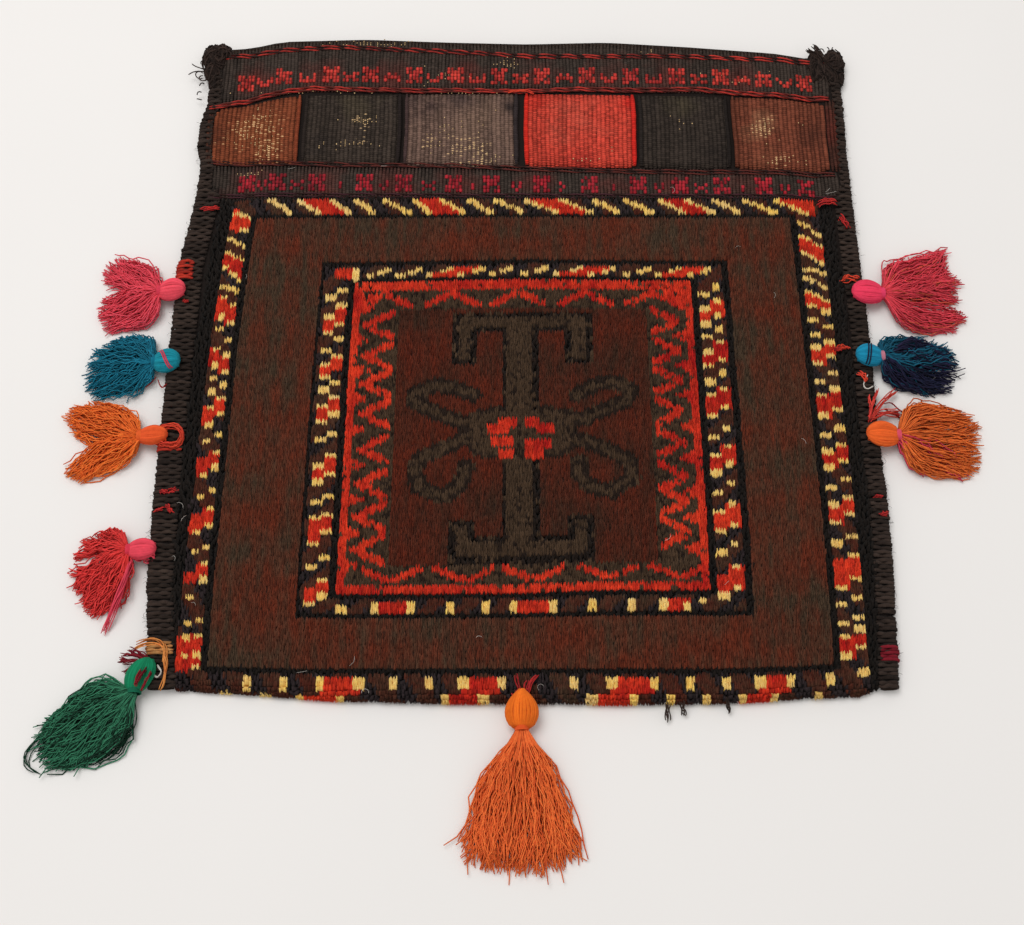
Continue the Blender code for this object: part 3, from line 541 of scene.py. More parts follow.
def strip_point(across, t):
    """Where a point of the flat strip lies: across from -1 to 1, and t from 0 at the back's mouth to 1."""
    y = np.zeros_like(t)
    for _ in range(4):
        left = outer_left(y) + BINDING_SIDE
        right = outer_right(y) - BINDING_SIDE
        x = left + (right - left) * 0.5 * (across + 1.0)
        bend_y = fold_y(x) + FOLD_ROUND
        down = np.clip(t / BACK_SHARE, 0.0, 1.0)
        up = np.clip((t - BACK_SHARE - BEND_SHARE) / (1.0 - BACK_SHARE - BEND_SHARE), 0.0, 1.0)
        on_back = t <= BACK_SHARE
        on_face = t >= BACK_SHARE + BEND_SHARE
        back_top = mouth_y(x) - BACK_SHORTER
        flat_back = back_top + (bend_y - back_top) * down
        flat_face = bend_y + (mouth_y(x) - bend_y) * up
        y = np.where(on_back, flat_back, np.where(on_face, flat_face, bend_y))
    under, _ = rise(x, y)
    low = under + 0.5 * BACK_THICK
    high = face_z(x, y) - 0.5 * FACE_THICK
    turn = np.clip((t - BACK_SHARE) / BEND_SHARE, 0.0, 1.0) * math.pi
    bend_z = 0.5 * (low + high) - 0.5 * (high - low) * np.cos(turn)
    z = np.where(on_back, low, np.where(on_face, high, bend_z))
    return x, y - STRIP_BEND * np.sin(turn), z


def bend_strip():
    bm = bmesh.new()
    bmesh.ops.create_grid(bm, x_segments=STRIP_COLUMNS, y_segments=STRIP_ROWS, size=1.0)
    flat = np.array([vert.co[:2] for vert in bm.verts])
    t = 0.5 * (flat[:, 1] + 1.0)
    ease = (t - 0.5) * 2.0
    t = 0.5 + 0.5 * np.sign(ease) * np.abs(ease) ** CLOSER_AT_FOLD
    for vert, place in zip(bm.verts, np.stack(strip_point(flat[:, 0], t), axis=1)):
        vert.co = place
    bmesh.ops.recalc_face_normals(bm, faces=bm.faces)
    mesh = bpy.data.meshes.new("woven_strip")
    bm.to_mesh(mesh)
    bm.free()
    mesh.shade_smooth()
    return mesh


GROUND = srgb(52, 42, 38)
GROUND_BROWN, GROUND_RED = srgb(84, 50, 36), srgb(112, 34, 30)
BACK_STRIPES = ((0.16, 0.19, GROUND_BROWN), (0.30, 0.33, GROUND_RED), (0.48, 0.54, GROUND_BROWN),
                (0.66, 0.69, GROUND_RED), (0.82, 0.85, GROUND_BROWN))
STRIPES_FROM, STRIPES_RUN = 0.3, 0.6
RIB_SCALE = 52.0
FLECK_SCALE = 350.0


def strip_material():
    """Dark ground weave, with plain stripes in reds and browns across the back, and painted shade on its face
    under the pile and the band.
    """
    material, shade, shader = start_material("ground_weave")
    place = shade.node("TexCoord", None, None, 3)
    along, height = (shade.node("SeparateXYZ", None, {0: place}, axis) for axis in (1, 2))
    stops = [(0.0, GROUND)]
    for start, end, dye in BACK_STRIPES:
        stops += [(start, dye), (end, GROUND)]
    stripes = shade.node("ValToRGB", {"stops": stops}, {0: (along + STRIPES_FROM) / STRIPES_RUN})
    stripes.socket.node.color_ramp.interpolation = "CONSTANT"
    # Painted shade: the face of the strip, under the pile and the band, is made almost black, so the gaps
    # between knots and ribs look shaded.
    face = shade.mix(height > PAINTED_SHADE_FROM, stripes, scaled(GROUND, 0.35))
    fleck = shade.noise(FLECK_SCALE, (1.0, 0.25, 1.0))
    finish_material(shade, shader, shade.mix((fleck - 0.3).clamp(), face, scaled(GROUND, 0.45)), 0.95, 0.15)
    ribs = shade.node("TexWave", {"bands_direction": "X"},
                      {"Vector": place, "Scale": RIB_SCALE, "Distortion": 0.6, "Detail": 2.0})
    roughen(shade, shader, ribs, 0.7, 1.2 * MM)
    return material


strip = add_piece("woven_strip", bend_strip(), strip_material(), replaces=("bag_cloth",))
thickness = strip.modifiers.new("thickness", "SOLIDIFY")
thickness.thickness = STRIP_THICK
thickness.offset = 0.0

# %% [markdown]
# ## The pattern, in wool
#
# The pile face is a set of frames: a black guard, a bright border of stepped lines and red blocks, a
# wide plain border, a second bright border, a red line with a zigzag, and a brown field with a hooked
# figure. A weaver counts this out in knots, so the script does too: it lays out a grid of knots and
# paints their wool with simple shapes. The warps lean outwards towards the bottom, so the grid is
# counted in straight millimetres and then shifted sideways and up or down. The counts were taken on a
# plan at the height of the edges. The pile stands higher, nearer to the camera, so every place is at
# last drawn in a little, towards the point under the camera.

# %% The grid of knots
KNOT_WIDE = 2.9
KNOT_HIGH = 2.6
PILE_LEFT, PILE_RIGHT = -262.0, 264.0
PILE_LOW, PILE_TOP = -293.0, 137.5
LEFT_LEAN = ((-290, -4), (-200, -4), (-100, -2), (0, 0), (50, 3), (100, 6), (120, 9), (140, 10))
RIGHT_LEAN = ((-290, 2), (-150, 3), (-100, 2), (0, 0), (50, -1), (120, -3), (140, -4))
SAG_LEVELS = (PILE_TOP, 65.0, -205.0, -265.0)
SAGS = (
    ((-160, -2), (-60, 0), (10, 1.5), (60, 0.5), (120, 0), (170, 0)),
    ((-170, 0), (-130, -1.5), (0, -0.5), (60, 2), (170, 2)),
    ((-250, 3), (-170, 0), (150, 0), (200, 2), (250, 5)),
)
LEAN_REACH = 250.0

columns = np.arange(PILE_LEFT + 0.5 * KNOT_WIDE, PILE_RIGHT, KNOT_WIDE)
rows = np.arange(PILE_TOP - 0.5 * KNOT_HIGH, PILE_LOW, -KNOT_HIGH)
U, V = np.meshgrid(columns, rows)
WOOL = np.full(U.shape, "black", dtype="<U12")


def curve_of(points, at):
    xs, ys = zip(*points)
    return np.interp(at, xs, ys)


def warp_shift(u, v):
    """How far the cloth has moved a knot sideways, in millimetres."""
    left = curve_of(LEFT_LEAN, v) * np.clip(-u / LEAN_REACH, 0.0, 1.0) ** 1.3
    right = curve_of(RIGHT_LEAN, v) * np.clip(u / LEAN_REACH, 0.0, 1.0)
    return left + right


def weft_shift(u, v):
    """How far the cloth has moved a knot up or down, in millimetres."""
    shifts = [np.zeros_like(u)] + [curve_of(sag, u) for sag in SAGS]
    out = np.zeros_like(u)
    for i, (high, low) in enumerate(zip(SAG_LEVELS, SAG_LEVELS[1:])):
        share = np.clip((high - v) / (high - low), 0.0, 1.0)
        inside = (v <= high) & (v >= low)
        out = np.where(inside, shifts[i] + (shifts[i + 1] - shifts[i]) * share, out)
    return np.where(v < SAG_LEVELS[-1], shifts[-1], out)


PLAN_HEIGHT = 7.5
PILE_HEIGHT = 13.8
BAND_HEIGHT = 11.3


def settle(x, y, height):
    """Millimetres on the plan, drawn in to where they lie on a surface at a height."""
    share = (height - PLAN_HEIGHT) * MM
    return x - share * (x - CAMERA_PLACE[0] / MM), y - share * (y - CAMERA_PLACE[1] / MM)


def box(left, right, low, high):
    return (U >= left) & (U < right) & (V >= low) & (V < high)


def ring(outer, inner):
    """Between two frames, each given as left, right, low, high."""
    return box(*outer) & ~box(*inner)


print(U.shape, "knots,", U.size)

# %% [markdown]
# ## Frames of the pattern
#
# Each frame is a ring between two boxes. The ground of the two bright borders changes between dark
# brown and blue-black every few knots, as the weaver ran short of yarn or just liked it.

# %% Paint the frames
GUARD = (-250.0, 252.0, -293.0, 134.0)
OUTER_IN = (-232.0, 231.0, -268.0, 122.0)
OUTER_LINE = (-227.0, 226.0, -262.5, 117.0)
MAIN_IN = (-167.0, 169.0, -226.0, 78.0)
MIDDLE_LINE = (-162.0, 164.0, -221.5, 73.0)
INNER_IN = (-142.0, 143.0, -211.5, 61.0)
INNER_LINE = (-137.5, 138.5, -206.0, 56.5)
RED_IN = (-131.5, 132.5, -200.0, 48.5)
FIELD = (-100.0, 100.0, -184.0, 30.0)
GROUND_RUN = 13.0


def paint(mask, name):
    WOOL[mask] = name


for bright, slant in ((ring(GUARD, OUTER_IN), 0.6), (ring(MIDDLE_LINE, INNER_IN), -1.0)):
    paint(bright, "maroon")
    paint(bright & (np.floor((U + slant * V) / GROUND_RUN) % 2 == 0), "navy")
paint(ring(OUTER_LINE, MAIN_IN), "brown")
paint(ring(INNER_LINE, RED_IN), "red")
paint(ring(RED_IN, FIELD), "dun")
paint(box(*FIELD), "brown")

# %% [markdown]
# ## Stepped lines and red blocks
#
# The bright borders repeat one idea: a yellow line steps across the border, and between two such
# lines the ground is filled with red. No two are alike, so each border has a short list of where its
# lines start and end. On the sides a line is given by its heights at the left and the right edge, and
# along the top and bottom by its place at the upper and the lower edge. None leaves that half out.

# %% Borders as lists
OUTER_LEFT_FINE = ((124, 118), (None, 108), (99, 92), (86, 80), (73, 62), (56, 51))
OUTER_LEFT = ((45, 37), (28, 21), (17, 7), (-2, -8), (-16, -22), (-28, -34), (-39, None), (-53, -46),
              (-68, -59), (-83, -77), (None, -93), (-110, -104), (-129, -123), (None, -140), (-158, -153),
              (-174, -170), (None, -184), (None, -195), (-209, None), (-231, -227), (-242, -241),
              (-257, -255), (None, -265))
OUTER_LEFT_REDS = ((126, 119, 109, 107), (86, 80, 73, 62), (45, 37, 28, 21), (-2, -8, -16, -22),
                   (-53, -46, -68, -59), (-97, -93, -110, -104), (-143, -140, -158, -153),
                   (-190, -184, -198, -195), (-243, -241, -266, -264))
OUTER_RIGHT_FINE = ((113, 102), (99, 91), (84, 77), (69, 67), (60, 54), (47, 40))
OUTER_RIGHT = ((35, 31), (22, 16), (9, None), (-3, 2), (-18, -10), (-33, -25), (-45, -39), (-63, -56),
               (-79, -73), (-94, -87), (-107, -100), (-124, -116), (-138, -131), (-153, -145),
               (-169, -162), (None, -178), (-204, -197), (-217, -213), (-233, -227), (None, -237),
               (-244, None), (-258, -252), (None, -271))
OUTER_RIGHT_REDS = ((99, 91, 84, 77), (47, 40, 35, 31), (-3, 2, -18, -10), (-45, -39, -63, -56),
                    (-94, -87, -107, -100), (-138, -131, -153, -145), (-184, -178, -204, -197),
                    (-244, -242, -258, -252))
INNER_LEFT = ((44, 51), (None, 36), (26, 19), (12, None), (-5, 6), (-18, -10), (-27, None), (-39, -33),
              (-53, -46), (-67, -60), (-83, -76), (-104, -95), (-117, -111), (-134, -128), (-148, -145),
              (-168, -158), (-186, -178), (None, -197), (-214, -208))
INNER_LEFT_REDS = ((28, 36, 12, 19), (-18, -10, -27, -20), (-53, -46, -67, -60), (-104, -97, -117, -111),
                   (-148, -145, -168, -158), (-204, -200, -214, -208))
INNER_RIGHT = ((45, 52), (31, 39), (18, 26), (6, 13), (-8, 1), (-20, -15), (-34, -26), (-46, -40),
               (-64, -57), (-82, -75), (-97, -90), (-112, -104), (-129, -121), (-145, -138), (-161, -155),
               (-177, -171), (None, -188), (-211, -204))
INNER_RIGHT_REDS = ((31, 39, 18, 26), (-8, 1, -20, -15), (-46, -40, -64, -57), (-97, -90, -112, -104),
                    (-145, -138, -161, -155), (-195, -188, -211, -204))
OUTER_TOP = ((-217, -200), (-193, -175), (-163, -150), (-142, -128), (-117, -98), (-90, -80), (-68, -50),
             (-43, -28), (-20, 0), (5, 28), (35, 56), (63, 80), (90, 108), (118, 136), (140, 160),
             (165, 182), (190, 212), (216, 238))
OUTER_TOP_REDS = ((-193, -175, -163, -150), (-90, -80, -68, -50), (5, 28, 35, 56), (118, 136, 140, 160),
                  (218, 240, 247, 247))
INNER_TOP = ((-110, -127), (-86, -101), (-58, -76), (-33, -50), (-10, -25), (18, 2), (48, 28), (75, 58),
             (103, 85), (130, 112), (154, 139))
INNER_TOP_REDS = ((-141, -141, -153, -153), (-58, -76, -33, -50), (48, 28, 75, 58), (130, 112, 152, 141))
INNER_LOW = ((None, -133), (-107, -107), (-82, -82), (-54, -54), (-28, -28), (-6, -6), (22, 22), (52, 52),
             (80, 80), (103, 100), (None, 122), (133, None))
INNER_LOW_REDS = ((-107, -107, -84, -84), (-6, -6, 17, 17), (103, 103, 124, 124))
OUTER_LOW = ((-199, -214), (-173, -185), (-146, -160), (-118, -131), (-94, None), (-67, None), (-43, -56),
             (-16, -29), (37, None), (64, 50), (94, 80), (120, 106), (146, 133), (172, 158), (193, 182),
             (222, 214))
OUTER_LOW_REDS = ((-146, -160, -118, -131), (-43, -56, -16, -29), (64, 50, 94, 80), (172, 158, 193, 182))


# %% Draw the borders
FAR = 1e6
SLOT = 0.12


def stepped(line, across, steps):
    """A line's place at each knot: it changes in steps, and a missing half is far away."""
    start, end = line
    if start is None or end is None:
        here = across < 0.5 if start is not None else across >= 0.5
        return np.where(here, start if start is not None else end, FAR)
    stair = np.minimum(np.floor(across * steps), steps - 1) / max(steps - 1, 1)
    return start + (end - start) * stair


def draw_border(area, across, along, lines, reds, steps, half, gap=0.0):
    """Fill the red blocks of one border, then draw its yellow lines over them, half of a width each way."""
    for first, second, third, fourth in reds:
        one = stepped((first, second), across, steps)
        other = stepped((third, fourth), across, steps)
        filled = (along > np.minimum(one, other) - 1.0) & (along < np.maximum(one, other) + 1.0)
        paint(area & filled, "red")
    within = across * steps - np.floor(across * steps)
    narrow = (within > gap) & (within < 1.0 - gap)
    for line in lines:
        paint(area & narrow & (np.abs(along - stepped(line, across, steps)) <= half), "yellow")


SIDES = (
    ((-250.0, -232.0, 48.0, 127.0), OUTER_LEFT_FINE, OUTER_LEFT_REDS[:2], 4, 1.4, 0.0),
    ((-250.0, -232.0, -268.0, 48.0), OUTER_LEFT, OUTER_LEFT_REDS[2:], 2, 1.7, SLOT),
    ((231.0, 252.0, 38.0, 118.0), OUTER_RIGHT_FINE, OUTER_RIGHT_REDS[:2], 4, 1.4, 0.0),
    ((231.0, 252.0, -274.0, 38.0), OUTER_RIGHT, OUTER_RIGHT_REDS[1:], 2, 1.7, SLOT),
    ((-161.0, -142.0, -216.0, 56.0), INNER_LEFT, INNER_LEFT_REDS, 2, 1.6, SLOT),
    ((143.0, 164.0, -216.0, 56.0), INNER_RIGHT, INNER_RIGHT_REDS, 2, 1.6, SLOT),
)
LEVELS = (
    ((-222.0, 248.0, 122.0, 134.0), 12.0, OUTER_TOP, OUTER_TOP_REDS, 5, 3.2, 0.0),
    ((-161.0, 158.0, 61.0, 71.0), 10.0, INNER_TOP, INNER_TOP_REDS, 4, 3.0, 0.0),
    ((-138.0, 140.0, -220.5, -212.5), 8.0, INNER_LOW, INNER_LOW_REDS, 1, 3.0, 0.0),
    ((-226.0, 230.0, -295.0, -270.0), 20.0, OUTER_LOW, OUTER_LOW_REDS, 2, 3.4, SLOT),
)
for place, *rest in SIDES:
    draw_border(box(*place), (U - place[0]) / (place[1] - place[0]), V, *rest)
for place, deep, *rest in LEVELS:
    draw_border(box(*place), (place[3] - V) / deep, U, *rest)
paint(box(-141.0, -134.0, 60.0, 69.0), "yellow")
print("yellow knots:", int((WOOL == "yellow").sum()), "red knots:", int((WOOL == "red").sum()))

# %% [markdown]
# ## Zigzags, hooked figure and flower
#
# A red zigzag runs inside the red line on all four sides, with small red teeth between its points.
# The field has a figure like an anchor with four hooks, in dun on brown with a dark outline, and a
# small red flower at its heart. A polyline with a width draws the zigzag and the hooks: a knot takes
# the wool of the line if it lies near it. Wear has blurred the figure, so some of its knots stray.


# %% Polylines on the knots
def near_line(points, half_wide):
    """Knots that lie within half_wide of a line through the points."""
    nearest = np.full(U.shape, FAR)
    for (x1, y1), (x2, y2) in zip(points, points[1:]):
        dx, dy = x2 - x1, y2 - y1
        share = np.clip(((U - x1) * dx + (V - y1) * dy) / (dx * dx + dy * dy), 0.0, 1.0)
        nearest = np.minimum(nearest, np.hypot(U - x1 - share * dx, V - y1 - share * dy))
    return nearest <= half_wide


ZIG_LEFT = (18, -10, -34, -60, -90, -119, -146, -172)
ZIG_RIGHT = (20, -7, -33, -60, -87, -115, -136, -161)
# Turning places of the waves, their foot and tip, half of their line's width, and their clear height.
ZIG_WAVES = (((-112, -57, -3, 52, 106), 35, 46, 2.7, (31, 49)),
             ((-98, -44, 8, 64, 116), -188, -197, 2.4, (-199, -185)))
ZIG_HALF_OPEN = 10.0
ZIG_HALF_WIDE = 2.9
ZIG_TIP, ZIG_END = 125.0, 106.0
TOOTH_FROM, TOOTH_BELOW = 132.0, 13.0
TOOTH_LONG, TOOTH_HALF, TOOTH_ROOT = 12.0, 5.5, 2.0
ZIG_WAVE_RUN = 21.0
CORNER_SIZE = 22.0

for side, turns in ((-1.0, ZIG_LEFT), (1.0, ZIG_RIGHT)):
    from_line = TOOTH_FROM - side * U
    for turn_y in turns:
        zig = [(side * x, turn_y + step) for x, step in ((ZIG_END, ZIG_HALF_OPEN), (ZIG_TIP, 0.0),
                                                         (ZIG_END, -ZIG_HALF_OPEN))]
        paint(near_line(zig, ZIG_HALF_WIDE), "red")
        tooth = np.abs(V - turn_y + TOOTH_BELOW) < TOOTH_HALF * (1.0 - from_line / TOOTH_LONG)
        paint((from_line > -TOOTH_ROOT) & tooth, "red")
for turns, foot, tip, half, clear in ZIG_WAVES:
    for turn_x in turns:
        wave = ((turn_x - ZIG_WAVE_RUN, foot), (turn_x, tip), (turn_x + ZIG_WAVE_RUN, foot))
        paint(near_line(wave, half) & box(-130, 131, *clear), "red")
paint(box(-132.0, -113.0, 28.0, 46.0) & ((U + 132.0) + (46.0 - V) < CORNER_SIZE), "red")
paint(box(114.0, 133.0, 32.0, 48.0) & ((133.0 - U) + (48.0 - V) < CORNER_SIZE), "red")
WEAR = np.random.default_rng(7)


def speckle(area, share, name):
    """A share of the knots of an area, picked by chance, in another wool."""
    paint(area & (WEAR.random(U.shape) < share), name)


speckle((WOOL == "red") & ring(INNER_LINE, FIELD), 0.07, "dun")
speckle((WOOL == "dun") & ring(INNER_LINE, FIELD), 0.16, "shadow")

STEM = (-11.2, 6.8, -166.0, 22.0)
SLABS = ((-51.0, 50.0, 15.5, 22.0), (-51.0, -40.5, -13.0, 22.0), (38.5, 50.0, -14.0, 22.0),
         (-51.0, 49.0, -178.0, -167.0), (-51.0, -40.5, -178.0, -154.0), (38.5, 49.0, -178.0, -151.0))
SLAB_EDGE = 5.6
HOOKS = (
    ((-20, -61), (-45, -69), (-66, -61), (-85, -50), (-84, -43), (-68, -36), (-52, -39), (-38, -45)),
    ((20, -62), (48, -67), (65, -58), (80, -52), (86, -42), (74, -35), (60, -36), (42, -46)),
    ((-22, -79), (-45, -82), (-62, -91), (-80, -99), (-82, -110), (-79, -122), (-60, -130), (-48, -122),
     (-43, -106)),
    ((22, -84), (48, -85), (64, -92), (82, -102), (84, -116), (68, -128), (52, -124), (43, -112), (44, -102)),
)
HOOK_HALF = 2.7
HOOK_EDGE = 3.9
BODY = ((-24, -78), (22, -78))
BODY_HALF = 18.0
FLOWER = ((-17.7, -4.0, -72.5, -64.0), (-28.5, -11.0, -77.5, -70.5), (0.5, 14.6, -72.5, -64.5),
          (11.0, 26.0, -77.5, -70.5), (-25.5, -6.0, -89.5, -82.0), (-19.0, -6.0, -98.5, -92.0),
          (0.5, 22.5, -90.5, -83.0), (0.5, 15.5, -99.5, -92.5))
in_field = box(*FIELD)


def draw_layer(line_edge, line_wool, slab_edge, slab_wool):
    """The whole figure once: its hooks and body in one wool, and its straight parts in another."""
    for hook in HOOKS:
        paint(near_line(hook, HOOK_HALF + line_edge) & in_field, line_wool)
    paint(near_line(BODY, BODY_HALF + line_edge), line_wool)
    for left, right, low, high in SLABS + (STEM,):
        shape = box(left - slab_edge, right + slab_edge, low - slab_edge, high + slab_edge)
        paint(shape & in_field, slab_wool)


draw_layer(HOOK_EDGE, "shadow", SLAB_EDGE, "outline")
draw_layer(0.0, "dun", 0.0, "dun")
for worn, share, name in (("outline", 0.14, "dun"), ("shadow", 0.22, "dun"), ("dun", 0.12, "shadow")):
    speckle((WOOL == worn) & in_field, share, name)
for shape in FLOWER:
    paint(box(*shape), "red")
print({name: int((WOOL == name).sum()) for name in sorted(set(WOOL.ravel()))})

# %% [markdown]
# ## The knots
#
# Each knot leaves two short cut ends of yarn that lean towards the mouth. A yarn end is modelled as a
# small ridge: a cube whose top is pinched to a line, sheared along the lean, with eight triangles. The
# black wool was dyed with iron and has worn lower than the rest. At the fold the rows follow the bend
# of the cloth, so the last ends point down over the edge.

# %% One cut end
END_WIDE = 3.3 * MM
END_LONG = 4.0 * MM
END_HIGH = 4.2 * MM
END_LEAN = 1.9 * MM


def end_template():
    bm = bmesh.new()
    bmesh.ops.create_cube(bm, size=1.0)
    bmesh.ops.translate(bm, vec=(0.0, 0.0, 0.5), verts=bm.verts)
    bmesh.ops.scale(bm, vec=(END_WIDE, END_LONG, END_HIGH), verts=bm.verts)
    top = [vert for vert in bm.verts if vert.co.z > 0.5 * END_HIGH]
    bmesh.ops.scale(bm, vec=(0.0, 0.8, 1.0), verts=top)
    bmesh.ops.translate(bm, vec=(0.0, END_LEAN, 0.0), verts=top)
    bmesh.ops.remove_doubles(bm, verts=bm.verts, dist=1e-6)
    return Template(bm)


# %% Lay the knots on the cloth
FOLD_TURN = math.radians(118.0)
UNDER_FOLD = 0.4 * MM
END_SUNK = 0.3 * MM
PAST_SEAM = 1.0 * MM
LOWEST_END = 0.2 * MM
ROW_JITTER = 0.30
KNOT_ENDS, KNOT_JITTER, KNOT_SKEW = (-0.25, 0.25), 0.14, 0.12
FELTED = ("pile_black", "pile_navy", "pile_outline")
FELT_ENDS, FELT_JITTER, FELT_SKEW = (0.0,), 0.65, 0.34


def pile_frames(u, v):
    """Foot, sideways, lean and outward directions of yarn ends, given in counted millimetres."""
    x, y = settle(u + warp_shift(u, v), v + weft_shift(u, v), PILE_HEIGHT)
    x, y = x * MM, y * MM
    bend_y = fold_y(x) + FOLD_ROUND
    past = np.maximum(bend_y - y, 0.0)
    turn = np.minimum(past / STRIP_BEND, FOLD_TURN)
    flat_y = np.maximum(y, bend_y)
    top = face_z(x, flat_y)
    half = 0.5 * (top - UNDER_FOLD)
    foot_y = flat_y - STRIP_BEND * np.sin(turn)
    foot_z = np.where(past > 0.0, top - half + half * np.cos(turn), top) - END_SUNK
    foot = np.stack([x, foot_y, foot_z], axis=-1)
    lean = np.stack([np.zeros_like(x), np.cos(turn), np.sin(turn)], axis=-1)
    outward = np.stack([np.zeros_like(x), -np.sin(turn), np.cos(turn)], axis=-1)
    sideways = np.broadcast_to(np.array([1.0, 0.0, 0.0]), foot.shape)
    return foot, sideways, lean, outward


def lay_pile(name, mask, material, high, seed):
    """All the yarn ends of one wool, two to a knot, as one piece. Felted dark wool shows one."""
    dice = np.random.default_rng(seed)
    template = end_template()
    ends, jitter, skewed = ((FELT_ENDS, FELT_JITTER, FELT_SKEW) if name in FELTED
                            else (KNOT_ENDS, KNOT_JITTER, KNOT_SKEW))
    u = np.repeat(U[mask], len(ends)) + np.tile(np.array(ends) * KNOT_WIDE, int(mask.sum()))
    v = np.repeat(V[mask], len(ends))
    u = u + dice.normal(0.0, jitter, u.size)
    v = v + dice.normal(0.0, ROW_JITTER, v.size)
    x = settle(u + warp_shift(u, v), v, PILE_HEIGHT)[0] * MM
    kept = (x > inner_left(v * MM) - PAST_SEAM) & (x < inner_right(v * MM) + PAST_SEAM)
    foot, sideways, lean, outward = pile_frames(u[kept], v[kept])
    count = int(kept.sum())
    tall = (high * dice.normal(1.0, 0.06, count)).clip(0.6, 1.2)[:, None]
    skew = dice.normal(0.0, skewed, count)[:, None]
    local = template.points[None]
    across = local[..., 0] * dice.uniform(0.85, 1.15, count)[:, None] + skew * local[..., 2]
    ahead = local[..., 1] * dice.uniform(0.9, 1.15, count)[:, None]
    points = foot[:, None] + across[..., None] * sideways[:, None] + ahead[..., None] * lean[:, None]
    points = points + (local[..., 2] * tall)[..., None] * outward[:, None]
    points[..., 2] = np.maximum(points[..., 2], LOWEST_END)
    mesh = copies_mesh(name, template, points, dice.random(count), template.points[:, 2] / END_HIGH)
    return add_piece(name, mesh, material)


GREY_BROWN = srgb(72, 56, 42)
# Each wool of the pile: its knots, the height of its ends, its colour, and how the wool varies.
PILE = (
    ("black", WOOL == "black", 0.80, srgb(30, 25, 22), dict(drift=0.15)),
    ("navy", WOOL == "navy", 0.84, srgb(50, 41, 42), dict(drift=0.25)),
    ("maroon", WOOL == "maroon", 0.90, srgb(84, 38, 27), dict(dark=0.5, drift_to=GREY_BROWN)),
    ("brown_border", (WOOL == "brown") & ~in_field, 1.0, srgb(104, 46, 29),
     dict(dark=0.5, light=1.35, drift=0.5, drift_to=GREY_BROWN, stretch=STREAK_AND_SHEEN)),
    ("brown_field", (WOOL == "brown") & in_field, 1.0, srgb(96, 39, 24),
     dict(dark=0.5, light=1.35, drift=0.42, drift_to=srgb(62, 41, 30), stretch=STREAK_AND_SHEEN)),
    ("dun", WOOL == "dun", 0.97, srgb(76, 58, 43), dict(dark=0.5, light=1.35, drift=0.25, stretch=STREAK_AND_SHEEN)),
    ("shadow", WOOL == "shadow", 0.97, srgb(46, 34, 27), dict(dark=0.5, drift=0.2)),
    ("outline", WOOL == "outline", 0.90, srgb(38, 29, 24), dict(dark=0.55, drift=0.2)),
    ("red", WOOL == "red", 1.02, srgb(226, 66, 38),
     dict(dark=0.5, drift=0.42, drift_to=srgb(178, 30, 27), stretch=STREAK_AND_SHEEN)),
    ("yellow", WOOL == "yellow", 1.0, srgb(255, 202, 102),
     dict(dark=0.72, light=1.2, drift=0.3, drift_to=srgb(240, 206, 142), root=0.6)),
)
for seed, (name, mask, high, colour, ways) in enumerate(PILE):
    lay_pile("pile_" + name, mask, wool("pile_%s_wool" % name, colour, **ways), high, seed + 11)
    print(name, TRIANGLES["pile_" + name], "triangles")

# %% [markdown]
# ## The ribbed band
#
# Above the pile the cloth is weft-faced: wool packed so tightly over the warps that each pair of
# warps shows as a rib. Ribs could be a bump in the material, but raking light and close views need
# real ones, and each is only a thin strand that follows the cloth. In the six squares the weft turns
# back at the slits between them, so every square is its own puffed pad with thick lips.

# %% Strands laid along the cloth
RIB_PITCH = 3.0
SQUARE_PITCH = 3.65
RIB_STEP = 6.0 * MM
RIB_SWAY = 0.7 * MM
RIB_JITTER = 0.08 * MM
RIBS_AT = 200.0
BAND_START = 133.2 * MM
SQUARE_LOW = ((-262, 172.5), (0, 169.0), (262, 165.5))
SQUARE_HIGH = ((-265, 229), (-190, 242.5), (-100, 243.5), (0, 244), (100, 242.5), (178, 241), (262, 237))


def band_line(line, x, off=0.0):
    """A line of the plan at each x, in metres on the band, with an offset in millimetres."""
    plan_x = x / MM
    return settle(plan_x, curve_of(line, plan_x) + off, BAND_HEIGHT)[1] * MM


def along_band(line, off):
    """A function that reads such a line."""
    return lambda x: band_line(line, x, off)


def level(height):
    """The same height everywhere."""
    return lambda x, y=None: np.full_like(x, height)


def lay_ribs(name, xs, low, high, lift, half_wide, half_thick, material, seed, ends=0.55):
    """Ribs at each x of the plan, from low(x) to high(x) in metres, on the face plus a lift."""
    dice = np.random.default_rng(seed)
    xs = np.asarray(xs, float)
    real = settle(xs, RIBS_AT, BAND_HEIGHT)[0] * MM
    lows, highs = low(real), high(real)
    rings = max(4, int(np.max(highs - lows) / RIB_STEP))
    share = np.linspace(0.0, 1.0, rings)
    y = lows[:, None] + (highs - lows)[:, None] * share
    sway = RIB_SWAY * np.sin(y / (19.0 * MM) + xs[:, None] / 37.0)
    x = real[:, None] + sway * np.sin(math.pi * share) + dice.normal(0.0, RIB_JITTER, y.shape)
    z = face_z(x, y) + lift(x, y) + dice.normal(0.0, RIB_JITTER, y.shape)
    wide = half_wide * dice.normal(1.0, 0.05, y.shape)
    lay_yarns(name, np.stack([x, y, z], axis=-1), wide, half_thick, dice, material, ends=ends)


def spread(low, high, pitch):
    """Rib places between two edges, at about a pitch, in millimetres."""
    count = max(2, round((high - low) / pitch))
    return low + (np.arange(count) + 0.5) * (high - low) / count


# %% [markdown]
# ## Ribbed wool
#
# A rib shows the tiny wefts that cross it as grain, finer along the rib than across it. Where hands
# rubbed, the wool is paler or gone, so a worn patch is given as a centre and a radius, and noise
# breaks up its edge. The sides of each rib are painted darker, as painted shade.


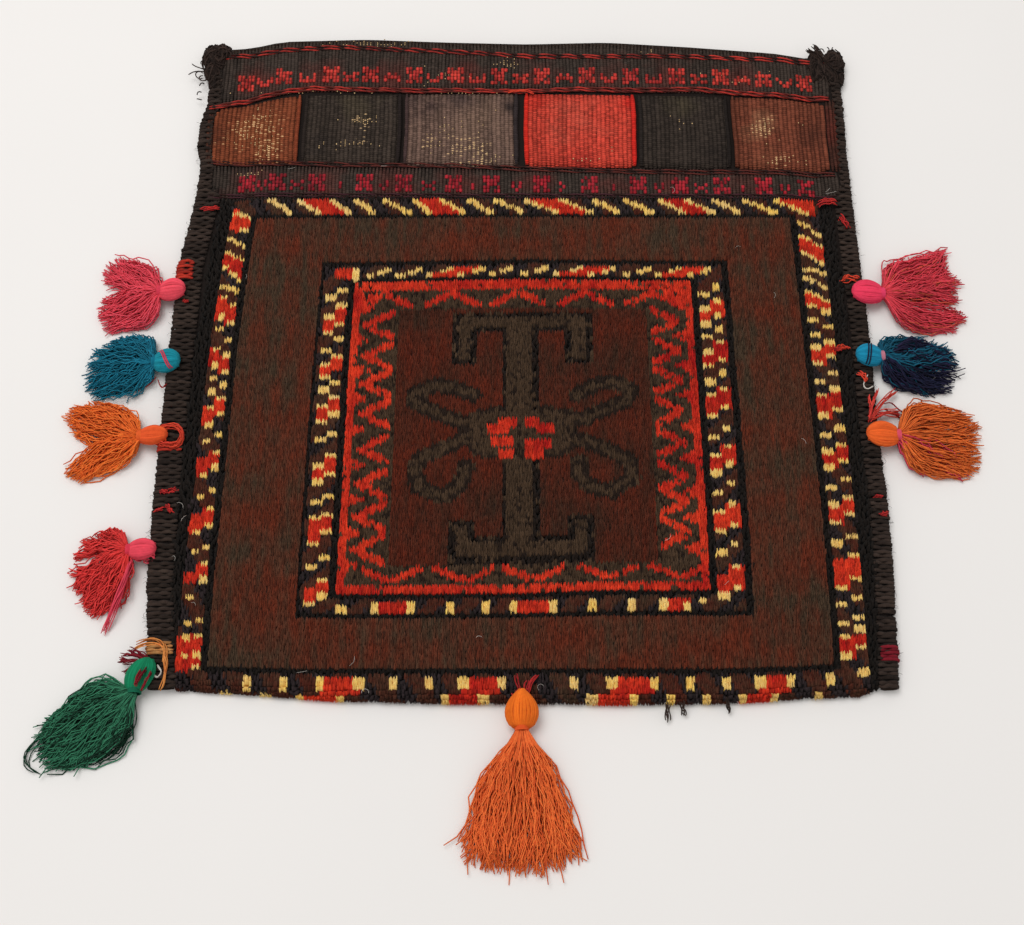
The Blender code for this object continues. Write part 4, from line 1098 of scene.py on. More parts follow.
# %% Worn ribbed wool
WEFT_ROW = 2.1 * MM
WEFT_BUMP = 0.6 * MM
GRAIN_SCALE, WANDER_SCALE = 560.0, 55.0
ROWS_APART, CELLS_APART = 40.0, 977.0
CREAM_WARP = srgb(236, 196, 142)


def worn_and_shaded_wool(name, colour, patches=(), grain=0.55, bare=()):
    """Ribbed wool with rubbed patches (x, y, radius, colour, strength) and bare warps (x, y, radius), and
    painted shade on the sides of its ribs.
    """
    material, shade, shader = start_material(name)
    tone, crown = (shade.node("Attribute", {"attribute_name": kind}, None, 2) for kind in ("tone", "crown"))
    place = shade.node("TexCoord", None, None, 3)
    row = shade.node("SeparateXYZ", None, {0: place}, 1) / WEFT_ROW + tone * ROWS_APART
    in_row = shade.maths("PINGPONG", row, 0.5) * 2.0
    cell = shade.node("CombineXYZ", None, {0: tone * CELLS_APART, 1: shade.maths("FLOOR", row)})
    chance = shade.node("TexWhiteNoise", {"noise_dimensions": "2D"}, {"Vector": cell})
    fine = shade.noise(GRAIN_SCALE, (0.8, 1.3, 1.0), detail=3.0)
    wander = shade.noise(WANDER_SCALE, detail=4.0)
    # Painted shade: the sides of each rib, where the crown is low, are made darker.
    share = (tone * 0.3 + fine * 0.9 + in_row * 0.35 + chance * 0.4 - 0.55 - (1.0 - crown) * 0.6).clamp()
    dot = ((crown - 0.7) * 3.3).clamp() * ((in_row - 0.4) * 2.5).clamp()

    def near(x, y, radius):
        real_x, real_y = settle(x, y, BAND_HEIGHT)
        centre = (real_x * MM, real_y * MM, BAND_HEIGHT * MM)
        away = shade.node("VectorMath", {"operation": "DISTANCE"}, {0: place, 1: centre}, 1)
        return 1.0 - away / (radius * MM) + (wander - 0.5) * 2.4

    base = shade.mix(share, scaled(colour, 1.0 - grain), scaled(colour, 1.0 + 0.9 * grain))
    for x, y, radius, patch, strength in patches:
        worn = shade.mix(share, scaled(patch, 1.0 - grain), scaled(patch, 1.15))
        base = shade.mix((near(x, y, radius) * strength).clamp(), base, worn)
    for x, y, radius in bare:
        shown = ((near(x, y, radius) * 0.5 + chance - 0.85) * 6.0).clamp() * dot
        base = shade.mix(shown, base, CREAM_WARP)
    finish_material(shade, shader, base, 0.92, 0.1)
    roughen(shade, shader, in_row, 0.7, WEFT_BUMP)
    return material


STAR_HAZE = tuple((x, y, 24, srgb(112, 48, 42), 0.5) for y in (152, 261) for x in range(-230, 250, 60))
BLACK_ENDS = tuple((x, y, 13, srgb(26, 22, 21), 0.9)
                   for x, y in ((-262, 262), (-262, 246), (-264, 160), (-264, 146)))
HEM_ROOM = 1.5 * MM
ground_wool = worn_and_shaded_wool("band_ground", srgb(64, 54, 48), STAR_HAZE + BLACK_ENDS)
BAND_RIB = (level(0.25 * MM), 1.65 * MM, 0.9 * MM, ground_wool)
band_xs = spread(-264.0, 267.0, RIB_PITCH)
lay_ribs("lower_band", band_xs, level(BAND_START), along_band(SQUARE_LOW, -1.0), *BAND_RIB, 31)
lay_ribs("upper_band", band_xs, along_band(SQUARE_HIGH, 2.0), lambda x: mouth_y(x) - HEM_ROOM, *BAND_RIB, 32)
print("ribs:", TRIANGLES["lower_band"] + TRIANGLES["upper_band"], "triangles")

# %% [markdown]
# ## Six squares
#
# Their wools are brown, charcoal, a faded purple-grey, bright red, charcoal and brown. Each is a pad
# of ribs that swells in its middle and has rounded corners.

# %% Lay the squares
PUFF_RUN = 10.0 * MM
CORNER_RUN = 8.0
CORNER_CUT = 3.0
OLIVE = srgb(98, 88, 62)
SQUARES = (
    ("square_brown_left", -263.0, -190.0, 1.5, srgb(128, 66, 42),
     ((-228, 200, 24, srgb(176, 104, 62), 0.6), (-262, 205, 14, srgb(70, 38, 28), 0.9)),
     ((-226, 203, 25), (-214, 183, 16), (-238, 209, 15))),
    ("square_charcoal_left", -186.0, -103.5, 1.1, srgb(64, 54, 47),
     ((-140, 232, 22, OLIVE, 0.35), (-170, 195, 18, srgb(44, 38, 36), 0.6)),
     ((-135, 214, 9), (-136, 190, 6))),
    ("square_grey", -100.0, -3.0, 1.5, srgb(112, 88, 77),
     ((-40, 208, 30, srgb(150, 120, 100), 0.5), (-90, 236, 20, srgb(56, 42, 46), 0.8),
      (-52, 238, 18, srgb(72, 58, 56), 0.8), (-4, 230, 14, srgb(50, 42, 42), 0.9)),
     ((-44, 184, 18), (-78, 190, 9), (-30, 176, 9))),
    ("square_red", 3.0, 97.0, 2.0, srgb(206, 70, 54),
     ((46, 212, 30, srgb(212, 98, 78), 0.6), (50, 172, 16, srgb(168, 44, 40), 0.7),
      (12, 236, 12, srgb(224, 44, 34), 0.9), (92, 232, 14, srgb(230, 46, 38), 0.9)), ()),
    ("square_charcoal_right", 100.0, 177.0, 1.1, srgb(58, 49, 43),
     ((136, 234, 20, OLIVE, 0.3), (168, 182, 22, srgb(40, 34, 32), 0.6)), ()),
    ("square_brown_right", 180.5, 261.0, 1.5, srgb(120, 64, 46),
     ((204, 212, 18, srgb(168, 122, 90), 0.5), (250, 205, 20, srgb(90, 50, 38), 0.7),
      (205, 178, 14, srgb(140, 88, 62), 0.4)),
     ((206, 208, 11), (220, 174, 8))),
)


def pad_shape(left, right, puff):
    """The lift of a pad, and the lines of its lower and upper ends with rounded corners."""
    left_x, right_x = (settle(x, RIBS_AT, BAND_HEIGHT)[0] for x in (left, right))

    def corner(x):
        from_side = np.minimum(x / MM - left_x, right_x - x / MM)
        return CORNER_CUT * (1.0 - smooth(from_side / CORNER_RUN)) ** 2

    def low(x):
        return band_line(SQUARE_LOW, x, -0.8) + corner(x) * MM

    def high(x):
        return band_line(SQUARE_HIGH, x, -2.0) - corner(x) * MM

    def lift(x, y):
        from_side = np.minimum(x - left_x * MM, right_x * MM - x) + 2.0 * MM
        from_end = np.minimum(y - low(x), high(x) - y) + 1.0 * MM
        full = smooth(from_side / PUFF_RUN) ** 0.6 * smooth(from_end / PUFF_RUN) ** 0.6
        return (0.3 + puff * full) * MM

    return low, high, lift


PADS = {}
for number, (name, left, right, puff, colour, patches, bare) in enumerate(SQUARES):
    low, high, lift = pad_shape(left, right, puff)
    PADS[name] = lift
    lay_ribs(name, spread(left, right, SQUARE_PITCH), low, high, lift, 2.15 * MM, 0.95 * MM,
             worn_and_shaded_wool(name + "_wool", colour, patches, 0.6, bare), 41 + number, ends=0.9)

EDGE_PATCHES = ((-268, 205, 20, srgb(92, 50, 34), 0.5), (268, 205, 34, srgb(104, 50, 40), 0.9))
edge_wool = worn_and_shaded_wool("band_edge_wool", srgb(70, 44, 36), EDGE_PATCHES)
for name, low_x, high_x in (("band_edge_left", -269.0, -264.0), ("band_edge_right", 262.0, 271.0)):
    lay_ribs(name, spread(low_x, high_x, RIB_PITCH), along_band(SQUARE_LOW, 0.0),
             along_band(SQUARE_HIGH, 2.0), level(0.4 * MM), 1.6 * MM, 1.0 * MM, edge_wool, 51)
print("squares:", sum(TRIANGLES[entry[0]] for entry in SQUARES), "triangles")

# %% [markdown]
# ## Lips and worn specks
#
# Weft wrapped over the last warps at a slit makes a thick lip. Where the weft of a square has worn
# through, cream warps show as rows of specks, thickest in the middle of a rubbed place. A speck is a
# tiny flat strand on top of its rib, and the specks are scattered by chance round a few centres.

# %% Lips of the slits
LIPS = (
    ("red_left", 4.6, 4.6, (212, 46, 34)), ("red_right", 95.6, 4.6, (216, 44, 36)),
    ("brown_left", -191.0, 3.4, (138, 66, 42)), ("charcoal_left", -184.8, 3.4, (44, 36, 32)),
    ("charcoal_middle", -104.6, 3.4, (42, 34, 32)), ("grey_left", -98.6, 3.4, (74, 56, 54)),
    ("grey_right", -4.4, 4.4, (50, 42, 42)), ("charcoal_right", 101.6, 3.8, (40, 34, 31)),
    ("charcoal_end", 175.6, 3.4, (38, 32, 29)), ("brown_right", 182.0, 3.4, (108, 58, 42)),
)
for number, (name, at_x, wide, colour) in enumerate(LIPS):
    lip_wool = worn_and_shaded_wool("lip_%s_wool" % name, srgb(*colour), grain=0.4)
    lay_ribs("lip_" + name, [at_x], along_band(SQUARE_LOW, 1.5), along_band(SQUARE_HIGH, -1.5),
             level(1.3 * MM), 0.5 * wide * MM, 1.5 * MM, lip_wool, 81 + number)

# %% Cream specks
WORN = (
    (-226, 203, 17, 20, 60, "brown_left"), (-214, 184, 10, 8, 12, "brown_left"),
    (-135, 214, 13, 2.5, 22, "charcoal_left"), (-136, 190, 14, 3, 14, "charcoal_left"),
    (-160, 188, 16, 5, 10, "charcoal_left"), (-44, 184, 22, 12, 36, "grey"), (-78, 190, 11, 14, 16, "grey"),
    (-30, 176, 14, 4, 14, "grey"), (-52, 205, 20, 10, 16, "grey"), (55, 174, 16, 2, 8, "red"),
    (78, 184, 2, 2, 2, "red"), (220, 174, 20, 3, 18, "brown_right"), (206, 208, 10, 12, 24, "brown_right"),
    (240, 211, 2, 2, 3, "brown_right"), (130, 212, 20, 10, 6, "charcoal_right"),
    (-132, 295, 40, 3.5, 60, None), (-12, 275, 9, 4, 20, None), (110, 285, 8, 3, 6, None),
    (-228, 163, 13, 3, 18, None), (-180, 244, 60, 1.5, 16, None), (-60, 243, 40, 1.5, 14, None),
    (-75, 262, 44, 7, 18, None), (190, 262, 50, 8, 8, None),
)
SPECK_ROW = 1.9
SPECK_HALF_LONG = 0.55 * MM
SPREAD_SHARE = 0.55


def scatter_specks():
    """Specks snapped to ribs across and to wefts along, on top of the pad or the plain band."""
    dice = np.random.default_rng(66)
    starts, heights = [], []
    for x, y, wide, tall, count, pad in WORN:
        pitch = SQUARE_PITCH if pad else RIB_PITCH
        at_x = np.rint((x + dice.normal(0.0, SPREAD_SHARE * wide, count)) / pitch) * pitch
        at_y = np.rint((y + dice.normal(0.0, SPREAD_SHARE * tall, count)) / SPECK_ROW) * SPECK_ROW
        real_x, real_y = (place * MM for place in settle(at_x, at_y, BAND_HEIGHT))
        starts.append(np.stack([real_x, real_y], axis=1))
        on_pad = PADS["square_" + pad](real_x, real_y) + 1.05 * MM if pad else None
        heights.append(on_pad if pad else np.full(count, 1.15 * MM))
    starts, heights = np.concatenate(starts), np.concatenate(heights)
    y = starts[:, 1:2] + np.array([-1.0, 0.0, 1.0]) * SPECK_HALF_LONG
    x = np.broadcast_to(starts[:, 0:1], y.shape)
    z = face_z(x, y) + heights[:, None]
    wide = dice.uniform(0.35, 0.6, len(starts))[:, None] * MM
    bare_warp = wool("bare_warp", CREAM_WARP, dark=0.6)
    paths = np.stack([x, y, z], axis=-1)
    lay_yarns("worn_specks", paths, wide, 0.25 * MM, dice, bare_warp, "cream_wool", sides=4)


scatter_specks()
print("lips:", len(LIPS), "specks:", TRIANGLES["worn_specks"], "triangles")

# %% [markdown]
# ## Stars and cords
#
# Rows of small red stars are brocaded: an extra red weft floats over single ribs, so each star is a
# few short stitches on a five by five chart, with small figures between. Between the strips of weave
# run cords, twined as the weft was beaten in: two rows for each cord, of two strands that wind round
# each other, so that red and dark show by turns.

# %% Brocaded stars
STITCH_WIDE = 2.95
STITCH_HIGH = 3.3
STAR = ("11011", "11111", "01110", "11111", "11011")
FIGURES = (("10001", "11011", "01110"), ("10001", "10101", "11111"), ("11011", "01110", "11011"),
           ("01010", "11111", "10001"))
LOW_FIGURES = (("101", "101", "010"), ("1001", "0110", "1001"), ("1", "1"))
UPPER_STARS = ((-239, 256), (-206, 261), (-165, 263), (-131, 263), (-93, 262), (-57, 262), (-19, 261),
               (18, 261), (57, 262), (95, 261), (135, 261), (173, 260), (210, 258), (246, 256))
LOWER_STARS = ((-231, 153), (-205, 153), (-172, 152.5), (-132, 152.5), (-99, 152), (-57, 151.5), (-25, 151),
               (17, 151), (57, 150.5), (98, 150), (133, 149.5), (168, 149), (203, 149), (239, 148))
FIGURE_BELOW = 2.5
STITCH_JITTER = 0.14
LOST_STITCHES = 0.05


def chart_places(chart, x, y):
    """Centres of a chart's stitches round a centre."""
    tall, wide = len(chart), len(chart[0])
    return [(x + (k - 0.5 * (wide - 1)) * STITCH_WIDE, y - (r - 0.5 * (tall - 1)) * STITCH_HIGH)
            for r, line in enumerate(chart) for k, mark in enumerate(line) if mark == "1"]


def brocade(name, stars, figures, material, seed):
    """A row of stars with small figures between them, as short floating stitches."""
    dice = np.random.default_rng(seed)
    places = []
    for number, (x, y) in enumerate(stars):
        places += chart_places(STAR, x, y)
        if number + 1 < len(stars):
            between_x = 0.5 * (x + stars[number + 1][0])
            between_y = 0.5 * (y + stars[number + 1][1]) - FIGURE_BELOW
            places += chart_places(figures[number % len(figures)], between_x, between_y)
    places = np.array(places) + dice.normal(0.0, STITCH_JITTER, (len(places), 2))
    places = places[dice.random(len(places)) > LOST_STITCHES]
    real_x, real_y = settle(places[:, 0], places[:, 1], BAND_HEIGHT)
    y = (real_y[:, None] + np.array([-0.52, -0.3, 0.3, 0.52]) * STITCH_HIGH) * MM
    x = np.broadcast_to(real_x[:, None] * MM, y.shape)
    z = face_z(x, y) + np.array([0.9, 1.3, 1.3, 0.9]) * MM
    wide = 1.55 * MM * dice.uniform(0.8, 1.05, len(places))[:, None]
    lay_yarns(name, np.stack([x, y, z], axis=-1), wide, 0.42 * MM, dice, material, sides=5, ends=0.85)


star_wool = wool("star_wool", srgb(206, 66, 54), dark=0.35, light=1.4, drift_to=srgb(150, 38, 42))
low_star_wool = wool("crimson_star_wool", srgb(176, 40, 50), dark=0.35, light=1.4, drift_to=srgb(116, 32, 40))
brocade("upper_stars", UPPER_STARS, FIGURES, star_wool, 61)
brocade("lower_stars", LOWER_STARS, LOW_FIGURES, low_star_wool, 62)

# %% Twined cords
CORD_UPPER = ((-264, 282), (-250, 284), (-200, 289), (-160, 292), (-100, 289), (-30, 285), (0, 282),
              (60, 282), (140, 282), (200, 279), (264, 278))
CORD_MIDDLE = ((-268, 229), (-240, 236), (-220, 241), (-200, 245), (-180, 248), (-100, 246), (0, 245),
               (50, 247), (100, 246), (150, 247), (200, 242), (266, 239))
CORD_LOWER = ((-262, 174), (-240, 173), (-150, 170), (-50, 169), (0, 166), (100, 163), (264, 162))
CORD_PURPLE = ((-262, 141), (-100, 139.5), (100, 139), (264, 139))
CORD_STEP = 2.4 * MM
CORD_APART = 1.35
CORD_SWAY = 0.6 * MM


def twine(name, line, off, strand, pitch, materials, seed, lift):
    """Strands wound round each other along a line on the face, moved up or down by an offset."""
    dice = np.random.default_rng(seed)
    xs = np.arange(line[0][0] * MM, line[-1][0] * MM, CORD_STEP)
    sway = np.convolve(dice.normal(0.0, CORD_SWAY, len(xs)), np.ones(9) / 9.0, "same")
    ys = band_line(line, xs, off) + sway
    turns = np.cumsum(dice.uniform(0.6, 1.4, len(xs))) * 2.0 * math.pi * CORD_STEP / pitch
    for number, material in enumerate(materials):
        turn = turns + 2.0 * math.pi * number / len(materials)
        y = ys + 0.6 * strand * np.cos(turn)
        z = face_z(xs, ys) + lift + 0.8 * strand * np.sin(turn)
        path = np.stack([xs, y, z], axis=-1)
        lay_yarns("%s_%d" % (name, number + 1), path[None], strand, strand * 0.85, [0.5], material, sides=5)


red_cord = wool("red_cord_wool", srgb(204, 62, 52), dark=0.5, drift=0.45, drift_to=srgb(92, 36, 34))
dark_cord = wool("dark_cord_wool", srgb(52, 32, 29), drift=0.2)
dull_cord = wool("dull_red_cord_wool", srgb(100, 46, 40), drift=0.4)
purple_cord = wool("purple_cord_wool", srgb(74, 42, 48), drift=0.3)
CORDS = (
    ("upper_cord", CORD_UPPER, 0.8, 19.0, (red_cord, dark_cord), 1.2),
    ("middle_cord", CORD_MIDDLE, 0.78, 21.0, (red_cord, dull_cord), 1.4),
    ("lower_cord", CORD_LOWER, 0.66, 22.0, (dull_cord, dark_cord), 1.2),
    ("purple_cord", CORD_PURPLE, 0.66, 22.0, (purple_cord, dark_cord), 0.9),
)
for number, (name, line, strand, pitch, materials, lift) in enumerate(CORDS):
    for row, off, seed in (("_top", CORD_APART, 71 + number), ("_low", -CORD_APART, 75 + number)):
        twine(name + row, line, off, strand * MM, pitch * MM, materials, seed, lift * MM)
print("cords:", len(CORDS) * 2)

# %% [markdown]
# ## The mouth's hem
#
# Both layers end in a hem: dark wool whipped over the last wefts. A hem stitch is a short strand that
# starts on the outside, goes over the edge and ends inside, a little further along.

# %% Whip the hems
HEM_HALF = 264.0 * MM
HEM_PITCH = 3.4 * MM
HEM_TURN = 1.7 * MM
HEM_DEEP = 5.0 * MM


def whip_hem(name, is_face, material, seed):
    """Stitches over the mouth edge of the face or of the back."""
    dice = np.random.default_rng(seed)
    xs = np.arange(-HEM_HALF, HEM_HALF, HEM_PITCH)
    xs = xs + dice.normal(0.0, 0.3 * MM, len(xs))
    edge = mouth_y(xs) - (2.4 if is_face else 3.4) * MM
    under, _ = rise(xs, edge)
    middle = face_z(xs, edge) - 0.5 * FACE_THICK if is_face else under + 0.5 * BACK_THICK
    radius = HEM_TURN if is_face else 0.8 * HEM_TURN
    turn = np.linspace(0.5 * math.pi, -0.5 * math.pi, 6)
    out = [(edge - HEM_DEEP, middle + radius * 0.7)]
    out += [(edge + radius * math.cos(a), middle + radius * math.sin(a)) for a in turn]
    out += [(edge - HEM_DEEP * 0.7, middle - radius * 0.9)]
    y = np.stack([point[0] for point in out], axis=1)
    z = np.stack([point[1] for point in out], axis=1)
    x = xs[:, None] + np.linspace(-1.0, 1.6, len(out)) * MM
    paths = np.stack([x, y, z], axis=-1)
    lay_yarns(name, paths, 0.55 * MM, 1.6 * MM, dice, material, up=(1.0, 0.0, 0.0), sides=4)


hem_wool = worn_and_shaded_wool("hem_wool", srgb(66, 50, 42), grain=0.6)
for number, (name, is_face) in enumerate((("hem_face", True), ("hem_back", False))):
    whip_hem(name, is_face, hem_wool, 76 + number)
print("hems:", TRIANGLES["hem_face"] + TRIANGLES["hem_back"], "triangles")

# %% [markdown]
# ## Overcast edges
#
# The sides are closed with goat hair. The yarn goes round both layers and weaves over and under a few
# bundles of warps on the way, so the edge looks like a narrow dark braid. One stitch is a strand that
# starts under the bag, rounds the edge and crosses the top. Its height waves from bundle to bundle,
# and the next stitch waves the other way, so each shows only on every second bundle.

# %% Goat hair stitches
STITCH_PITCH = 3.0 * MM
STITCH_HALF = 0.95 * MM
STITCH_SUNK = 1.1 * MM
STITCH_ROOM = 0.2 * MM
BUNDLE = 5.6 * MM
WAVE = 1.15 * MM
EDGE_CENTRE = 0.5 * BINDING_TOP
SLIM_SHARE, SLIM_FROM, SLIM_RUN = 0.42, 138.0 * MM, 12.0 * MM
PAST_THE_TOP = 5.0 * MM


def edge_path(sign, outer, inner, y, rise_by, wave):
    """Points of one stitch from under the inner edge, round the outer edge, to the top inner edge."""
    radius = EDGE_CENTRE + rise_by - STITCH_SUNK
    floor_z = 0.6 * MM + 0.35 * rise_by
    bulge = outer - sign * (EDGE_CENTRE - STITCH_ROOM)
    under = np.linspace(inner + sign * 3.0 * MM, bulge, 4)[:-1]
    points = [(x, y, max(EDGE_CENTRE - radius, floor_z)) for x in under]
    for turn in np.linspace(-0.5 * math.pi, 0.5 * math.pi, 6):
        z = max(EDGE_CENTRE + radius * math.sin(turn), floor_z)
        points.append((bulge + sign * radius * math.cos(turn), y, z))
    for x in np.linspace(bulge, inner, 9)[1:]:
        wavy = WAVE * math.sin(math.pi * (x - outer) / BUNDLE * sign + wave)
        points.append((x, y, EDGE_CENTRE + radius - STITCH_ROOM + wavy))
    return points


def overcast(name, sign, low, high, material, seed, slot, solid, rise_by=0.0, pitch=STITCH_PITCH, share=1.0):
    """Stitches along one side from low to high, with the wave of every second one turned over."""
    dice = np.random.default_rng(seed)
    outer_line, inner_line = (outer_left, inner_left) if sign < 0 else (outer_right, inner_right)
    paths = []
    for number, y in enumerate(np.arange(low, high, pitch)):
        y = y + dice.normal(0.0, 0.2 * MM)
        outer = float(outer_line(y)) + sign * (dice.normal(0.0, 0.35 * MM) - 0.4 * MM)
        narrow = share * (1.0 - SLIM_SHARE * float(smooth((y - SLIM_FROM) / SLIM_RUN)))
        inner = outer - (outer - float(inner_line(y))) * narrow
        paths.append(edge_path(sign, outer, inner, y, rise_by, math.pi * (number % 2)))
    paths = np.array(paths)
    paths[..., 1] += np.cumsum(dice.normal(0.0, 0.12 * MM, paths.shape[:2]), axis=1)
    lay_yarns(name, paths, STITCH_HALF, 0.55 * pitch, dice, material, slot, replaces=(solid,),
              up=(0.0, 1.0, 0.0), sides=5)


goat_hair = wool("goat_hair", srgb(55, 44, 38), dark=0.4, light=1.5, drift=0.4, drift_to=srgb(42, 33, 29),
                 stretch=(0.6, 1.0, 1.0), fuzz=0.7, root=0.0)
left_low, left_high = LEFT_RINGS[0][0], LEFT_RINGS[0][-1]
right_low, right_high = RIGHT_RINGS[0][0], RIGHT_RINGS[0][-1]
BOUND_SIDES = (("left", -1.0, left_low, left_high, 91), ("right", 1.0, right_low, right_high, 92))
for name, sign, low, high, seed in BOUND_SIDES:
    overcast("overcast_" + name, sign, low, high + PAST_THE_TOP, goat_hair, seed, "goat_hair",
             "binding_" + name)
print("overcast edges:", TRIANGLES["overcast_left"] + TRIANGLES["overcast_right"], "triangles")

# %% Coloured wraps
SCARLET = wool("scarlet_wrap_wool", srgb(206, 62, 44), dark=0.6, drift=0.3, drift_to=srgb(150, 40, 36))
CRIMSON = wool("crimson_wrap_wool", srgb(132, 30, 42), dark=0.5, drift=0.3)
CREAM = wool("cream_wrap_wool", srgb(206, 150, 92), dark=0.55, drift=0.5, drift_to=srgb(178, 96, 44))
# Name, side, from and to, wool, slot, solid, rise, pitch, and its share of the edge's width.
WRAPS = (
    ("red_wrap", -1.0, 60.0, 76.5, SCARLET, "red_wool", "red_wrap_left", 1.0, 2.6, 0.66),
    ("orange_wrap", -1.0, -91.0, -86.2, SCARLET, "red_wool", "orange_loop_left", 1.0, 2.3, 0.92),
    ("cream_wrap", -1.0, -252.0, -244.5, CREAM, "cream_wool", "corner_wrap_left", 1.2, 2.3, 0.92),
    ("crimson_wrap", 1.0, -257.0, -245.5, CRIMSON, "crimson_wool", "red_wrap_right", 0.9, 2.5, 0.86),
)
for number, (name, sign, low, high, material, slot, solid, rise_by, pitch, share) in enumerate(WRAPS):
    overcast(name, sign, low * MM, high * MM, material, 93 + number, slot, solid, rise_by * MM,
             pitch * MM, share)

# %% [markdown]
# ## Loose hair and thread
#
# Goat hair bristles, and bits of thread and lint hang on everything. A curl is grown step by step: it
# starts somewhere with a heading, and the heading turns a little at each step, so it bends into hooks
# and loops as a loose thread does.


# %% Curls
WANDER = 0.25
HAIR_HALF = 0.11 * MM
HAIRS = 190


def grow(start, heading, length, bend, climb, rings, dice):
    """A thread from start: heading and bend are in degrees in plan, and climb is its rise."""
    share = np.linspace(0.0, 1.0, rings)
    turn = math.radians(heading) + np.radians(bend) * share + np.cumsum(dice.normal(0.0, WANDER, rings)) * 0.3
    step = length / (rings - 1)
    x = start[0] + np.concatenate([[0.0], np.cumsum(np.cos(turn[:-1]))]) * step
    y = start[1] + np.concatenate([[0.0], np.cumsum(np.sin(turn[:-1]))]) * step
    z = start[2] + climb * np.sin(math.pi * share)
    return np.stack([x, y, z], axis=-1)


def bristle(name, sign, seed):
    """Short stiff hairs that stand out of a bound edge."""
    dice = np.random.default_rng(seed)
    outer_line = outer_left if sign < 0 else outer_right
    paths = []
    for y in dice.uniform(left_low, left_high, HAIRS):
        outer = float(outer_line(y))
        inside = dice.uniform(0.0, 16.0) * MM if dice.random() < 0.4 else dice.uniform(0.5, 3.0) * MM
        z = BINDING_TOP - 0.6 * MM if inside > 4.0 * MM else dice.uniform(2.0, 8.0) * MM
        heading = (0.0 if sign > 0 else 180.0) + dice.normal(0.0, 45.0)
        length = dice.uniform(2.0, 5.5) * MM
        paths.append(grow((outer - sign * inside, y, z), heading, length, dice.normal(0.0, 70.0),
                          dice.uniform(0.2, 1.4) * MM, 6, dice))
    lay_yarns(name, paths, HAIR_HALF, HAIR_HALF, dice, goat_hair, "goat_hair", sides=3, ends=0.5)


bristle("bristle_left", -1.0, 111)
bristle("bristle_right", 1.0, 112)

LINT = (
    (-127, -261, 20, 9, 60), (-165, -266, 0, 8, 30), (-112, -281, 80, 9, 200), (15, -276, 120, 9, 220),
    (204, 42, 40, 6, 80), (220, -86, 100, 6, 60), (-259, -138, 80, 8, 100), (-256, -144, 200, 6, 60),
    (-262, -180, 40, 6, 200), (107, -165, 10, 7, 50), (-197, 166, -20, 7, 60), (-120, 168, 10, 7, 40),
    (255, 145, 20, 6, 90), (126, 142, 10, 9, 200), (255, 143, 0, 10, 40), (-30, -240, 140, 5, 90),
    (150, -200, 20, 5, 40), (-225, 60, 60, 5, 70), (-243, -215, 90, 5, 120), (180, 90, 160, 5, 60),
)
thread_white = wool("thread_white", srgb(214, 206, 196), drift=0.1)


def lay_lint():
    """White hairs: x, y, heading, length and bend."""
    dice = np.random.default_rng(113)
    paths = []
    for x, y, heading, length, bend in LINT:
        on_pile = y < 135
        real_x, real_y = settle(x, y, PILE_HEIGHT if on_pile else BAND_HEIGHT)
        z = float(face_z(real_x * MM, real_y * MM)) + (4.4 if on_pile else 1.6) * MM
        paths.append(grow((real_x * MM, real_y * MM, z), heading, length * MM, bend, 0.8 * MM, 12, dice))
    lay_yarns("lint", paths, HAIR_HALF, HAIR_HALF, dice, thread_white, "cream_wool", sides=4)


lay_lint()

# %% [markdown]
# ## Knots at the mouth and tufts
#
# At both ends of the mouth the goat hair is wound round the corner into a hard lump, with loops and
# frayed ends standing out. A lump is wound like a ball of yarn: strands that run round it in all
# directions, over a core that is painted dark as shade in the gaps between them. Tufts, stray threads,
# loops and cut ends follow routes of a few points, with several loose yarns on each.


# %% Wind a lump
LUMP_STRAND = 0.75 * MM
CORE_SHARE = 0.84
LUMP_LOOSE = 0.1
THREAD_CLIMB = 1.5 * MM


def wind(name, node, lumps, seed):
    """Strands round ovals: each lump is its place and size as shares of the node's box, and its turns."""
    dice = np.random.default_rng(seed)
    low, high = (np.array(corner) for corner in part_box(node))
    angle = np.linspace(0.0, 1.4 * math.pi, 10)
    paths, axes = [], []
    bm = bmesh.new()
    for place, size, turns in lumps:
        centre, half = low + (high - low) * place, 0.5 * (high - low) * size
        axis = normalised(dice.normal(0.0, 1.0, (turns, 3)))
        first = normalised(np.cross(axis, dice.normal(0.0, 1.0, (turns, 3))))
        second = np.cross(axis, first)
        ball = first[:, None] * np.cos(angle)[:, None] + second[:, None] * np.sin(angle)[:, None]
        ball = normalised(ball + 0.3 * dice.normal(0.0, 1.0, (turns, 1, 1)) * axis[:, None])
        wave = LUMP_LOOSE * np.sin(3.0 * angle + dice.random((turns, 1)) * 6.0)[..., None]
        out = 1.0 + dice.normal(0.0, LUMP_LOOSE, (turns, 1, 1)) + wave
        paths.append(centre + ball * (half - LUMP_STRAND) * out)
        axes.append(axis)
        core = bmesh.ops.create_uvsphere(bm, u_segments=16, v_segments=10, radius=1.0)["verts"]
        bmesh.ops.scale(bm, vec=half * CORE_SHARE, verts=core)
        bmesh.ops.translate(bm, vec=centre, verts=core)
    paths = np.concatenate(paths)
    paths[..., 2] = np.maximum(paths[..., 2], LUMP_STRAND)
    lay_yarns(name, paths, LUMP_STRAND, LUMP_STRAND, dice, knot_hair, "goat_hair", replaces=(node,),
              up=np.concatenate(axes), sides=4)
    # Painted shade: the core carries no tone and no crown, so its wool comes out at its darkest, as shade in
    # the gaps between the strands.
    core = bpy.data.meshes.new(name + "_core")
    bm.to_mesh(core)
    bm.free()
    core.shade_smooth()
    add_piece(name + "_core", core, knot_hair, slot="goat_hair")


